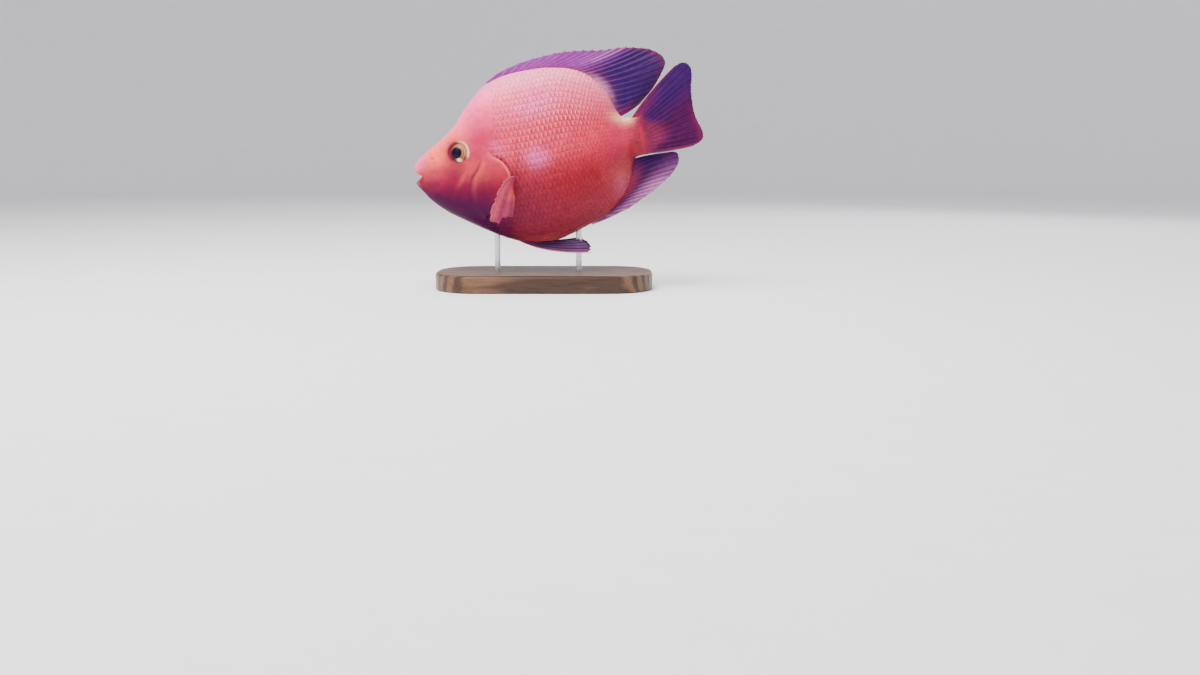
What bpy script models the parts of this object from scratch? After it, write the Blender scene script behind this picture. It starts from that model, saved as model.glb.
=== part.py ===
"""Blood parrot cichlid at life size, swimming nose down on a plain display stand.

The fish is built whole in its own level frame, then parted with thin cuts into head, gill
covers, torso and tail root. In that frame x runs from the snout to the tail, z is up, and the
left flank is at negative y. An empty pitches the finished fish and lifts it above the stand.
All sizes are in metres and all angles in degrees.
"""

import math

import bmesh
import bpy
import numpy as np
from mathutils import Matrix, Vector

GAP = 0.0003  # air between two nodes that touch
BEYOND = 0.08  # past the body's back, belly and snout, for cutters
BEYOND_TAIL = 0.20

# Profile of the body in its level frame, ring by ring: upper lip, brow, nape, back, tail root.
BACK_LINE = np.array([
    (0.0000, 0.0046), (0.0034, 0.0102), (0.0107, 0.0152), (0.0215, 0.0212), (0.0320, 0.0283),
    (0.0445, 0.0412), (0.0570, 0.0512), (0.0720, 0.0562), (0.0900, 0.0573), (0.1080, 0.0556),
    (0.1230, 0.0508), (0.1335, 0.0425), (0.1402, 0.0325), (0.1440, 0.0205), (0.1475, 0.0148),
    (0.1530, 0.0133), (0.1585, 0.0129)])
# The same rings along the lower lip, chin, throat, breast, vent and tail root.
BELLY_LINE = np.array([
    (-0.0004, -0.0045), (0.0030, -0.0102), (0.0085, -0.0183), (0.0180, -0.0278), (0.0300, -0.0366),
    (0.0430, -0.0455), (0.0570, -0.0538), (0.0720, -0.0590), (0.0900, -0.0597), (0.1080, -0.0550),
    (0.1240, -0.0496), (0.1360, -0.0408), (0.1440, -0.0312), (0.1480, -0.0222), (0.1498, -0.0158),
    (0.1530, -0.0136), (0.1585, -0.0131)])
# Half the body's thickness against the distance from the snout.
WIDTH_AT = np.array([0.0067, 0.020, 0.034, 0.052, 0.072, 0.092, 0.112, 0.130, 0.145, 0.153, 0.160])
HALF_WIDTH = np.array([
    0.0046, 0.0124, 0.0176, 0.0238, 0.0265, 0.0255, 0.0202, 0.0126, 0.0068, 0.0043, 0.0018])
FLANK_LEVEL = 0.47  # share of the body's height at which it is thickest
UPPER_ROUNDNESS = 1.95  # superellipse exponents of a body section, above and below the flank
LOWER_ROUNDNESS = 2.10
BROW_ROUNDNESS = 0.60  # more of the upper exponent on the brow, round a ring and over a few rings
BROW_RING = 2.6
BROW_RINGS = 2.2

# Mouth: the corners lie behind the lips, and the lips stand out round the opening.
MOUTH_SETBACK = 0.0064
MOUTH_RINGS = 3.0
LIP_SWELL = 0.12
LIP_RING = 0.30
LIP_WIDTH = 0.24
MOUTH_RIM = 0.80
MOUTH_DEPTH = 0.0060
MOUTH_STEPS = (0.18, 0.45, 0.72)

# Head relief, as places in side view and heights over the flesh.
EYE_PLACE = (0.0334, 0.0107)
EYE_RADIUS = 0.0068
EYE_BULGE = 0.0046
EYE_SUNK = 0.0026
EYE_RIM_HEIGHT = 0.0007
EYE_RIM_WIDTH = 0.0016
NOSTRIL_PLACE = (0.0150, 0.0098)
NOSTRIL_RADIUS = 0.0010
GILL_EDGE = np.array([
    (0.0575, 0.0700), (0.0560, 0.0400), (0.0535, 0.0150), (0.0570, 0.0048), (0.0618, 0.0008),
    (0.0652, -0.0042), (0.0668, -0.0105), (0.0645, -0.0158), (0.0585, -0.0230), (0.0510, -0.0298),
    (0.0420, -0.0375), (0.0340, -0.0520), (0.0290, -0.0700)])
CHEEK_EDGE = np.array([
    (0.0520, 0.0108), (0.0495, 0.0035), (0.0460, -0.0020), (0.0416, -0.0068), (0.0385, -0.0125),
    (0.0373, -0.0195), (0.0383, -0.0275), (0.0420, -0.0345)])
COVER_TOP = 0.0108  # the gill cover's plate lies between these two heights
COVER_BOTTOM = -0.0345
COVER_EDGE = 0.0040  # width of the step along its front edge
COVER_FADE = 0.0080  # height over which its lift fades, above its top
COVER_OVERHANG = 0.01  # how far its cutter runs on past the gill slit
CHEEK_POINTS = 26
GILL_LIFT = 0.0009
GILL_RAMP = 0.0140
GILL_THICKNESS = 0.0030
RELIEF_FROM = 0.0050  # distance from the median plane at which relief starts
COVER_RINGS = (2.5, 9)
TAIL_CUT = 0.1435

# Fins: profiles of their outer margins in side view.
DORSAL_MARGIN = np.array([
    (0.0600, 0.0540), (0.0711, 0.0594), (0.0873, 0.0631), (0.1011, 0.0644), (0.1159, 0.0647),
    (0.1305, 0.0631), (0.1433, 0.0611), (0.1542, 0.0605), (0.1640, 0.0585), (0.1735, 0.0553),
    (0.1798, 0.0508), (0.1820, 0.0450), (0.1788, 0.0388), (0.1715, 0.0303), (0.1610, 0.0215)])
ANAL_MARGIN = np.array([
    (0.1135, -0.0540), (0.1240, -0.0522), (0.1317, -0.0500), (0.1423, -0.0468), (0.1594, -0.0386),
    (0.1705, -0.0320), (0.1772, -0.0262), (0.1806, -0.0205), (0.1790, -0.0152), (0.1690, -0.0142)])
TAIL_MARGIN = np.array([
    (0.1875, 0.0412), (0.1932, 0.0423), (0.1968, 0.0390), (0.1970, 0.0325), (0.1950, 0.0240),
    (0.1944, 0.0155), (0.1952, 0.0060), (0.1980, -0.0045), (0.1970, -0.0100), (0.1900, -0.0130)])
TAIL_ROOT = np.array([(0.1520, 0.0114), (0.1535, 0.0), (0.1520, -0.0116)])
# Paired fins of the left side: root, the way that rays leave it, and margin, each from the first
# ray to the last. The pectoral's root is in side view, and lies on the flank.
PECTORAL_ROOT = np.array([(0.0704, -0.0112), (0.0686, -0.0150), (0.0655, -0.0188)])
PECTORAL_AIM = np.array([
    (-0.0135, -0.0200, 0.0050), (-0.0040, -0.0180, 0.0000), (0.0030, -0.0140, -0.0040)])
PECTORAL_MARGIN = np.array([
    (0.0478, -0.0360, -0.0350), (0.0515, -0.0370, -0.0368), (0.0560, -0.0385, -0.0380),
    (0.0605, -0.0390, -0.0378), (0.0640, -0.0385, -0.0358), (0.0655, -0.0375, -0.0325)])
PELVIC_ROOT = np.array([
    (0.0585, -0.0070, -0.0515), (0.0630, -0.0050, -0.0535), (0.0665, -0.0030, -0.0555)])
PELVIC_AIM = np.array([
    (0.0165, -0.0030, -0.0160), (0.0170, -0.0030, -0.0105), (0.0175, -0.0030, -0.0060)])
PELVIC_MARGIN = np.array([
    (0.1105, -0.0140, -0.0717), (0.1120, -0.0130, -0.0688), (0.1110, -0.0115, -0.0650),
    (0.1095, -0.0100, -0.0615)])
# Where the median fins' roots run, in rings of the body, and how their rays lean.
DORSAL_RINGS = (6.35, 13.7)
ANAL_RINGS = (9.45, 14.0)
DORSAL_SWEEP = 0.7  # under 1, rays lean back
ANAL_SWEEP = 0.6
DORSAL_BOW = -0.03
ANAL_BOW = 0.02
TAIL_BOW = 0.03
ROOT_DEPTH = 0.0025  # how far a fin's root is sunk before the flesh is cut out of it
FINS = {
    "dorsal_fin": {"rays": 27, "rows": 4, "root": 0.0022},
    "anal_fin": {"rays": 16, "rows": 4, "root": 0.0022},
    "caudal_fin": {"rays": 17, "rows": 5, "root": 0.0024},
    "pectoral_fin_left": {"rays": 12, "rows": 5, "root": 0.0018},
    "pelvic_fin_left": {"rays": 6, "rows": 5, "root": 0.0024},
}
MEMBRANE = 0.0006
RAY_TIP = 0.0010
RAY_SHOULDER = 0.28  # half the width of a ray's ridge, in ray spacings
FLESHY_ROOT = 0.14  # share of a fin's depth that is thickened at its root
SPINE_REACH = 0.07  # share of a ray's length that its tip stands out of the margin
RAY_REACH = 0.012
SPINY_SHARE = 0.62  # share of a spiny fin that its spines take
WAVE = 0.0006  # height of the ripples along a margin

# The tail swings towards the left flank, and the lobes above and below it trail behind.
SWING_FROM = 0.118
SWING_RADIUS = 0.168
LOBE_TRAIL = 0.0100
DORSAL_LOBE = (0.45, 0.40)  # where a trailing lobe starts and the width it takes to bend, in shares
ANAL_LOBE = (0.15, 0.50)
TAIL_CURL = 0.0040
TAIL_FOLD = 0.7

# Pose and stand.
PITCH = 10.3
FIN_CLEARANCE = 0.014
ROD_RADIUS = 0.0020
ROD_PLACES = {"front": 0.048, "rear": 0.104}
ROD_SINK = 0.0060
BASE_LENGTH = 0.150
BASE_WIDTH = 0.074
BASE_THICKNESS = 0.012
BASE_CORNER = 0.030
BASE_EDGE = 0.0015
SNOUT_SETBACK = 0.0885  # from the middle of the base to the snout, along x

# Mesh fineness.
AROUND = 36
ROUND_SIDES = 20
RING_STEPS = np.array([0, 0.15, 0.3, 0.5, 0.75, 1.0, 1.35, 1.7])
RINGS_PER_STATION = 2
BUMP_STEP = 1e-4

CORAL = (0.86, 0.30, 0.25)
PINK = (0.88, 0.42, 0.38)
ORANGE = (0.90, 0.40, 0.24)
DUSK = (0.36, 0.16, 0.28)
GOLD = (0.80, 0.62, 0.25)
WALNUT = (0.16, 0.085, 0.045)
STEEL = (0.62, 0.62, 0.63)


def clear_scene():
    for obj in list(bpy.data.objects):
        bpy.data.objects.remove(obj)


def new_collection(name):
    group = bpy.data.collections.new(name)
    bpy.context.scene.collection.children.link(group)
    return group


def finish(name, colour, roughness, metallic=0.0):
    material = bpy.data.materials.new(name)
    material.use_nodes = True
    shader = material.node_tree.nodes["Principled BSDF"]
    shader.inputs["Base Color"].default_value = (*colour, 1.0)
    shader.inputs["Roughness"].default_value = roughness
    shader.inputs["Metallic"].default_value = metallic
    return material


def smooth_curve(knots, values, at):
    """Cubic through the knots, with slopes taken from each knot's neighbours."""
    slopes = np.gradient(values, knots, axis=0)
    at = np.clip(at, knots[0], knots[-1])
    i = np.clip(np.searchsorted(knots, at) - 1, 0, len(knots) - 2)
    step = knots[i + 1] - knots[i]
    t = (at - knots[i]) / step
    if values.ndim == 2:
        step, t = step[..., None], t[..., None]
    start = values[i] * (1 + 2 * t) * (1 - t) ** 2 + slopes[i] * step * t * (1 - t) ** 2
    end = values[i + 1] * (3 - 2 * t) * t**2 - slopes[i + 1] * step * (1 - t) * t**2
    return start + end


def along(line, share):
    """Points at shares of the length of the smooth curve through a line's points."""
    fine = smooth_curve(np.arange(len(line), dtype=float), line, np.linspace(0, len(line) - 1, 400))
    length = np.r_[0, np.cumsum(np.linalg.norm(np.diff(fine, axis=0), axis=1))]
    at = np.clip(share, 0, 1) * length[-1]
    return np.stack([np.interp(at, length, fine[:, k]) for k in range(line.shape[1])], axis=-1)


def body_points(ring, angle):
    """Points of the body at a ring number and an angle, 0 along the back and pi along the belly.

    Each ring runs through a point of the back, the flank and the belly, joined by quarters of a
    superellipse. Angles under pi are on the left flank.
    """
    stations = np.arange(len(BACK_LINE), dtype=float)
    top = smooth_curve(stations, BACK_LINE, ring)
    bottom = smooth_curve(stations, BELLY_LINE, ring)
    corner = MOUTH_SETBACK * np.clip(1 - ring / MOUTH_RINGS, 0, 1) ** 2
    side_x = (top[..., 0] + bottom[..., 0]) / 2 + corner
    side_z = bottom[..., 1] + FLANK_LEVEL * (top[..., 1] - bottom[..., 1])
    half = smooth_curve(WIDTH_AT, HALF_WIDTH, side_x)
    upper = np.cos(angle) > 0
    brow = BROW_ROUNDNESS * np.exp(-(((ring - BROW_RING) / BROW_RINGS) ** 2))
    power = 2 / np.where(upper, UPPER_ROUNDNESS + brow, LOWER_ROUNDNESS)
    rise = np.abs(np.cos(angle)) ** power
    spread = np.sign(np.sin(angle)) * np.abs(np.sin(angle)) ** power
    end_x = np.where(upper, top[..., 0], bottom[..., 0])
    end_z = np.where(upper, top[..., 1], bottom[..., 1])
    lip = 1 + LIP_SWELL * np.exp(-(((ring - LIP_RING) / LIP_WIDTH) ** 2))
    x = side_x + (end_x - side_x) * rise
    y = -half * spread * lip
    z = side_z + (end_z - side_z) * rise * lip
    return np.stack([x, y, z], axis=-1)


def body_normals(ring, angle):
    """Outward unit normals of the body, from differences along its two directions."""
    ring_from = np.clip(ring - BUMP_STEP, 0, len(BACK_LINE) - 1)
    ring_to = np.clip(ring + BUMP_STEP, 0, len(BACK_LINE) - 1)
    lengthwise = body_points(ring_to, angle) - body_points(ring_from, angle)
    crosswise = body_points(ring, angle + BUMP_STEP) - body_points(ring, angle - BUMP_STEP)
    normal = np.cross(crosswise, lengthwise)
    return normal / np.maximum(np.linalg.norm(normal, axis=-1, keepdims=True), 1e-12)


def flank_spot(place, side):
    """Point and normal of the body nearest to an (x, z) place, on one side of the head."""
    ring, angle = np.meshgrid(np.linspace(0.5, 9, 340), np.linspace(0.1, 3.0, 300))
    points = body_points(ring, angle)
    nearest = np.argmin(np.hypot(points[..., 0] - place[0], points[..., 2] - place[1]))
    spot = points.reshape(-1, 3)[nearest]
    normal = body_normals(ring, angle).reshape(-1, 3)[nearest]
    flip = np.array([1, -side, 1])
    return spot * flip, normal * flip


def distance_to(line, x, z):
    """Distance from side-view places to the smooth curve through a line, negative in front."""
    fine = along(line, np.linspace(0, 1, 160))
    apart = np.hypot(x[..., None] - fine[:, 0], z[..., None] - fine[:, 1])
    nearest = np.argmin(apart, axis=-1)
    tangent = np.gradient(fine, axis=0)[nearest]
    offset_x, offset_z = x - fine[nearest, 0], z - fine[nearest, 1]
    behind = tangent[..., 0] * offset_z - tangent[..., 1] * offset_x
    return np.min(apart, axis=-1) * np.sign(behind)


def head_relief(points):
    """Height of the gill cover and of the rim round the eye over the plain head."""
    x, z = points[..., 0], points[..., 2]
    to_gill = distance_to(GILL_EDGE, x, z)
    to_cheek = distance_to(CHEEK_EDGE, x, z)
    flank = np.clip((np.abs(points[..., 1]) - RELIEF_FROM) / RELIEF_FROM, 0, 1)
    cover = np.clip(1 + to_gill / GILL_RAMP, 0, 1) * np.clip(0.5 + to_cheek / COVER_EDGE, 0, 1)
    cover *= np.clip((COVER_TOP - z) / COVER_FADE + 0.5, 0, 1)
    from_eye = np.hypot(x - EYE_PLACE[0], z - EYE_PLACE[1])
    rim = np.exp(-(((from_eye - EYE_RADIUS - EYE_RIM_WIDTH) / EYE_RIM_WIDTH) ** 2))
    return GILL_LIFT * cover * flank + EYE_RIM_HEIGHT * rim * flank


def add_mesh(name, points, faces, group):
    mesh = bpy.data.meshes.new(name)
    mesh.from_pydata([tuple(p) for p in points], [], [tuple(f) for f in faces])
    mesh.update()
    obj = bpy.data.objects.new(name, mesh)
    group.objects.link(obj)
    return obj


def closed_loft(rings):
    """Points and faces of a loft through rings, closed by a fan to the middle of each end."""
    count, size = len(rings), len(rings[0])
    points = [point for ring in rings for point in ring]
    points += [rings[0].mean(axis=0), rings[-1].mean(axis=0)]
    first_pole, last_pole = count * size, count * size + 1
    faces = []
    for j in range(size):
        k = (j + 1) % size
        for i in range(count - 1):
            here, ahead = i * size, (i + 1) * size
            faces.append((here + j, here + k, ahead + k, ahead + j))
        faces.append((first_pole, k, j))
        faces.append((last_pole, (count - 1) * size + j, (count - 1) * size + k))
    return points, faces


def body_solid(name, group, lift=0.0, relief=False, rings=None):
    """The whole body as one closed solid, raised everywhere by lift, with its open mouth."""
    last = len(BACK_LINE) - 1
    steps = np.r_[RING_STEPS, np.linspace(2, last, (last - 2) * RINGS_PER_STATION + 1)]
    if rings:
        steps = steps[(steps >= rings[0]) & (steps <= rings[1])]
    angle = np.linspace(0, 2 * math.pi, AROUND, endpoint=False)
    ring, turn = np.meshgrid(steps, angle, indexing="ij")
    points = body_points(ring, turn)
    rise = np.full(ring.shape, lift)
    if relief:
        rise += head_relief(points)
    skin = points + body_normals(ring, turn) * rise[..., None]
    loops = list(skin)
    if rings is None:
        lips = loops[0]
        middle = lips.mean(axis=0)
        mouth = []
        for share in (*MOUTH_STEPS, 1):
            reach = MOUTH_RIM * math.sin(share * math.pi / 2)
            deep = MOUTH_DEPTH * math.cos(share * math.pi / 2)
            mouth.append(middle + (lips - middle) * reach + np.array([deep, 0, 0]))
        loops = mouth + loops
    return add_mesh(name, *closed_loft(loops), group)


def prism(name, outline, group, reach=(-BEYOND, BEYOND)):
    """Closed side-view outline carried across the fish between two y values, as a cutter."""
    near = [(x, reach[0], z) for x, z in outline]
    far = [(x, reach[1], z) for x, z in outline]
    count = len(outline)
    sides = [(i, (i + 1) % count, count + (i + 1) % count, count + i) for i in range(count)]
    faces = [tuple(range(count))[::-1], tuple(range(count, 2 * count))] + sides
    obj = add_mesh(name, near + far, faces, group)
    outward(obj)
    return obj


def outward(obj):
    work = bmesh.new()
    work.from_mesh(obj.data)
    bmesh.ops.recalc_face_normals(work, faces=work.faces)
    work.to_mesh(obj.data)
    work.free()


def as_guide(obj):
    obj.hide_render = True
    obj.display_type = "WIRE"


def offset_line(line, distance, count=60):
    """Side-view curve moved sideways, towards the tail when distance is positive."""
    fine = along(line, np.linspace(0, 1, count))
    tangent = np.gradient(fine, axis=0)
    tangent /= np.linalg.norm(tangent, axis=1, keepdims=True)
    return fine + distance * np.stack([-tangent[:, 1], tangent[:, 0]], axis=1)


def cut(obj, operation, other):
    """Boolean of obj with a cutter, applied, of which the largest closed body is kept."""
    as_guide(other)
    modifier = obj.modifiers.new(operation.lower(), "BOOLEAN")
    modifier.operation = operation
    modifier.object = other
    modifier.solver = "EXACT"
    apply_modifiers(obj)


def apply_modifiers(obj):
    bpy.context.view_layer.update()
    graph = bpy.context.evaluated_depsgraph_get()
    old = obj.data
    made = bpy.data.meshes.new_from_object(obj.evaluated_get(graph))
    obj.modifiers.clear()
    obj.data = made
    bpy.data.meshes.remove(old)
    keep_largest(obj)


def keep_largest(obj):
    work = bmesh.new()
    work.from_mesh(obj.data)
    left, islands = set(work.verts), []
    while left:
        island, edge = set(), [left.pop()]
        while edge:
            vert = edge.pop()
            island.add(vert)
            for link in vert.link_edges:
                other = link.other_vert(vert)
                if other in left:
                    left.discard(other)
                    edge.append(other)
        islands.append(island)
    islands.sort(key=len)
    for island in islands[:-1]:
        bmesh.ops.delete(work, geom=list(island), context="VERTS")
    work.to_mesh(obj.data)
    work.free()


def move_points(obj, change):
    """Moves every vertex of an object by a function of its whole array of points."""
    points = np.empty(len(obj.data.vertices) * 3)
    obj.data.vertices.foreach_get("co", points)
    obj.data.vertices.foreach_set("co", change(points.reshape(-1, 3)).ravel())
    obj.data.update()


def swing(points):
    """Sways the tail to the left: sideways by the square of the distance past its start."""
    moved = points.copy()
    past = np.clip(points[:, 0] - SWING_FROM, 0, None)
    moved[:, 1] -= past**2 / (2 * SWING_RADIUS)
    return moved


def fin_columns(rays):
    """Column shares across a fin, three to a ray, and which of them is a ray's crest."""
    pitch = 1 / (rays - 1)
    shares, crest = [], []
    for i in range(rays):
        for offset in (-RAY_SHOULDER, 0, RAY_SHOULDER):
            share = (i + offset) * pitch
            if 0 <= share <= 1:
                shares.append(share)
                crest.append(offset == 0)
    return np.array(shares), np.array(crest)


def fin_solid(name, group, place, reach):
    """A fin as one closed sheet, its rays raised as ridges on both faces.

    place(share, depth) gives points, share across the rays and depth from root to margin. reach
    says how far ray tips stand out of the membrane at each share. The sheet is triangulated
    before it is thickened, so both faces are split alike.
    """
    rays, rows, root_thickness = FINS[name]["rays"], FINS[name]["rows"], FINS[name]["root"]
    shares, crest = fin_columns(rays)
    columns = len(shares)
    work = bmesh.new()
    bmesh.ops.create_grid(work, x_segments=columns - 1, y_segments=rows, size=1)
    column = np.array([round((v.co.x + 1) / 2 * (columns - 1)) for v in work.verts])
    depth = np.array([(v.co.y + 1) / 2 for v in work.verts])
    share, on_ray = shares[column], crest[column]
    stretch = 1 + np.where(on_ray, 0.5, -0.5) * reach(share)
    for vert, point in zip(work.verts, place(share, depth * stretch)):
        vert.co = point
    bmesh.ops.triangulate(work, faces=work.faces, quad_method="FIXED")
    mesh = bpy.data.meshes.new(name)
    work.to_mesh(mesh)
    work.free()
    obj = bpy.data.objects.new(name, mesh)
    group.objects.link(obj)
    fleshy = np.clip(1 - depth / FLESHY_ROOT, 0, 1) ** 2
    membrane = MEMBRANE + (root_thickness - MEMBRANE) * fleshy
    ridge = RAY_TIP + (root_thickness - RAY_TIP) * (1 - depth) ** 1.5
    thickness = np.where(on_ray, np.maximum(ridge, membrane), membrane)
    weights = obj.vertex_groups.new(name="thickness")
    for index, value in enumerate(thickness):
        weights.add([index], value / root_thickness, "REPLACE")
    shell = obj.modifiers.new("thickness", "SOLIDIFY")
    shell.thickness = root_thickness
    shell.offset = 0
    shell.vertex_group = weights.name
    apply_modifiers(obj)
    outward(obj)
    return obj


def between(root, margin, share, depth, sweep, bow):
    """Side-view points on rays from a root line to a margin line, swept back and bowed."""
    start, end = along(root, share), along(margin, share**sweep)
    across = end - start
    lift = np.stack([-across[:, 1], across[:, 0]], axis=1)
    return start + across * depth[:, None] + lift * (4 * bow * depth * (1 - depth))[:, None]


def fan(root, aim, margin, share, depth):
    """Points on rays that leave a root line by their aim and bend over to a margin line."""
    start, end = along(root, share), along(margin, share)
    knee = start + along(aim, share)
    t = depth[:, None]
    return start * (1 - t) ** 2 + 2 * knee * t * (1 - t) + end * t**2


def median_root(line, rings):
    """Stretch of the back or belly line between two rings, sunk into the body."""
    ring = np.linspace(*rings, 16)
    angle = np.full(ring.shape, 0.0 if line == "back" else math.pi)
    return (body_points(ring, angle) - ROOT_DEPTH * body_normals(ring, angle))[:, [0, 2]]


def upright(flat, aside):
    """Side-view points stood in space at a sideways distance."""
    return np.stack([flat[:, 0], aside, flat[:, 1]], axis=1)


def ripple(share, depth, turns):
    return WAVE * np.sin(share * turns) * depth


def trailing(share, depth, lobe):
    """Sideways lag of a lobe, which grows past its start and towards its margin."""
    start, width = lobe
    return LOBE_TRAIL * np.clip((share - start) / width, 0, 1) ** 2 * depth**1.4


def dorsal_place(share, depth):
    root = median_root("back", DORSAL_RINGS)
    flat = between(root, DORSAL_MARGIN, share, depth, DORSAL_SWEEP, DORSAL_BOW)
    return upright(flat, trailing(share, depth, DORSAL_LOBE) + ripple(share, depth, 19))


def anal_place(share, depth):
    root = median_root("belly", ANAL_RINGS)
    flat = between(root, ANAL_MARGIN, share, depth, ANAL_SWEEP, ANAL_BOW)
    return upright(flat, trailing(share, depth, ANAL_LOBE) + ripple(share, depth, 13))


def tail_place(share, depth):
    """Fan off the tail root, cupped to the left, its lower lobe bent furthest."""
    flat = between(TAIL_ROOT, TAIL_MARGIN, share, depth, 1, TAIL_BOW * (1 - 2 * share))
    fold = np.clip((share - TAIL_FOLD) / (1 - TAIL_FOLD), 0, 1) ** 2
    curl = TAIL_CURL * (np.sin(math.pi * share) + fold) * depth**2
    return upright(flat, ripple(share, depth, 22) - curl)


def pectoral_place(share, depth):
    """The left fin leaves the flank outwards, behind the gill slit, then bends down and forward."""
    root = np.array([flank_spot(place, -1)[0] for place in PECTORAL_ROOT])
    root[:, 1] += ROOT_DEPTH
    point = fan(root, PECTORAL_AIM, PECTORAL_MARGIN, share, depth)
    point[:, 1] += ripple(share, depth, 17)
    return point


def pelvic_place(share, depth):
    return fan(PELVIC_ROOT, PELVIC_AIM, PELVIC_MARGIN, share, depth)


def spiny_reach(share):
    """Spine tips stand out of the margin in front, and soft rays barely do behind."""
    return SPINE_REACH * np.clip((SPINY_SHARE - share) / 0.15, 0.15, 1)


def even_reach(share):
    return np.full(share.shape, RAY_REACH)


def mirrored(obj, name, group):
    copy = bpy.data.objects.new(name, obj.data.copy())
    group.objects.link(copy)
    copy.data.transform(Matrix.Scale(-1, 4, (0, 1, 0)))
    copy.data.flip_normals()
    return copy


def make_flesh(fish, tools):
    """Head, torso and tail root, cut out of the one body shape."""
    front_edge = offset_line(GILL_EDGE, -GAP / 2)
    rear_edge = offset_line(GILL_EDGE, GAP / 2)
    front_of_tail, back_of_tail = TAIL_CUT - GAP / 2, TAIL_CUT + GAP / 2
    outlines = {
        "head": [*front_edge, (-BEYOND, -BEYOND), (-BEYOND, BEYOND)],
        "torso": [*rear_edge, (front_of_tail, -BEYOND), (front_of_tail, BEYOND)],
        "tail_peduncle": [
            (back_of_tail, BEYOND), (back_of_tail, -BEYOND), (BEYOND_TAIL, -BEYOND), (BEYOND_TAIL, BEYOND)],
    }
    flesh = []
    for name, outline in outlines.items():
        obj = body_solid(name, fish, relief=name == "head")
        cut(obj, "INTERSECT", prism(name + "_outline", outline, tools))
        flesh.append(obj)
    return flesh


def make_gill_covers(head, fish, tools):
    """Plates taken out of both sides of the head, from the cheek's edge back to the gill slit."""
    slit = offset_line(GILL_EDGE, 0)
    slit = slit[(slit[:, 1] < COVER_TOP) & (slit[:, 1] > COVER_BOTTOM)][::-1]
    behind = slit + np.array([COVER_OVERHANG, 0])
    left_half = (-BEYOND, 0)
    cheek = offset_line(CHEEK_EDGE, 0, CHEEK_POINTS)
    plate = prism("cover_outline", [*cheek, *behind], tools, left_half)
    cheek_gap = offset_line(CHEEK_EDGE, -GAP, CHEEK_POINTS)
    pocket = prism("cover_pocket", [*cheek_gap, *behind], tools, left_half)
    under = body_solid("under_cover", tools, lift=-GILL_THICKNESS, rings=COVER_RINGS)
    bed = body_solid("cover_bed", tools, lift=-GILL_THICKNESS - GAP, rings=COVER_RINGS)
    left = bpy.data.objects.new("gill_cover_left", head.data.copy())
    fish.objects.link(left)
    cut(left, "INTERSECT", plate)
    cut(left, "DIFFERENCE", under)
    cut(pocket, "DIFFERENCE", bed)
    cut(head, "DIFFERENCE", pocket)
    cut(head, "DIFFERENCE", mirrored(pocket, "cover_pocket_right", tools))
    return left, mirrored(left, "gill_cover_right", fish)


def make_eyes(head, fish, tools):
    """Eyeballs flattened along their axis, each in a socket that leaves the gap round it."""
    eyes = []
    for side, name in ((-1, "left"), (1, "right")):
        spot, normal = flank_spot(EYE_PLACE, side)
        turn = Vector(normal).to_track_quat("Z", "Y").to_matrix().to_4x4()
        place = Matrix.Translation(spot - normal * EYE_SUNK) @ turn
        eye = ball("eye_" + name, fish, place, EYE_RADIUS, EYE_BULGE)
        socket = ball("socket_" + name, tools, place, EYE_RADIUS + GAP, EYE_BULGE + GAP)
        cut(head, "DIFFERENCE", socket)
        eyes.append(eye)
    return eyes


def ball(name, group, place, radius, half_depth):
    """Sphere squashed along its own z and set by a matrix."""
    work = bmesh.new()
    bmesh.ops.create_uvsphere(work, u_segments=ROUND_SIDES, v_segments=ROUND_SIDES // 2, radius=radius)
    mesh = bpy.data.meshes.new(name)
    work.to_mesh(mesh)
    work.free()
    mesh.transform(place @ Matrix.Scale(half_depth / radius, 4, (0, 0, 1)))
    obj = bpy.data.objects.new(name, mesh)
    group.objects.link(obj)
    return obj


def cut_nostrils(head, tools):
    for side in (-1, 1):
        spot, _ = flank_spot(NOSTRIL_PLACE, side)
        pit = ball("nostril_pit", tools, Matrix.Translation(spot), NOSTRIL_RADIUS, NOSTRIL_RADIUS)
        cut(head, "DIFFERENCE", pit)


def make_fins(fish, tools):
    """All seven fins, cut clear of the flesh that they grow from."""
    flesh = body_solid("flesh_and_gap", tools, lift=GAP)
    fins = [
        fin_solid("dorsal_fin", fish, dorsal_place, spiny_reach),
        fin_solid("anal_fin", fish, anal_place, spiny_reach),
        fin_solid("caudal_fin", fish, tail_place, even_reach),
        fin_solid("pectoral_fin_left", fish, pectoral_place, even_reach),
        fin_solid("pelvic_fin_left", fish, pelvic_place, even_reach),
    ]
    for fin in fins:
        cut(fin, "DIFFERENCE", flesh)
    fins.append(mirrored(fins[3], "pectoral_fin_right", fish))
    fins.append(mirrored(fins[4], "pelvic_fin_right", fish))
    return fins


def posed(x, z):
    """World (x, z) of a point of the level fish's side view, before it is lifted."""
    turn = math.radians(PITCH)
    return x * math.cos(turn) - z * math.sin(turn), x * math.sin(turn) + z * math.cos(turn)


def make_pose():
    """Empty that pitches the fish nose down, at the snout, over the stand."""
    pose = bpy.data.objects.new("fish_pose", None)
    bpy.context.scene.collection.objects.link(pose)
    lowest = min(posed(x, z)[1] for x, _, z in PELVIC_MARGIN)
    pose.location = (-SNOUT_SETBACK, 0, BASE_THICKNESS + FIN_CLEARANCE - lowest)
    pose.rotation_euler = (0, -math.radians(PITCH), 0)
    return pose


def cylinder(name, radius, low, high, x, group):
    bpy.ops.mesh.primitive_cylinder_add(
        vertices=ROUND_SIDES, radius=radius, depth=high - low, location=(x, 0, (low + high) / 2))
    obj = bpy.context.object
    obj.name = name
    for old in obj.users_collection:
        old.objects.unlink(obj)
    group.objects.link(obj)
    return obj


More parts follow.
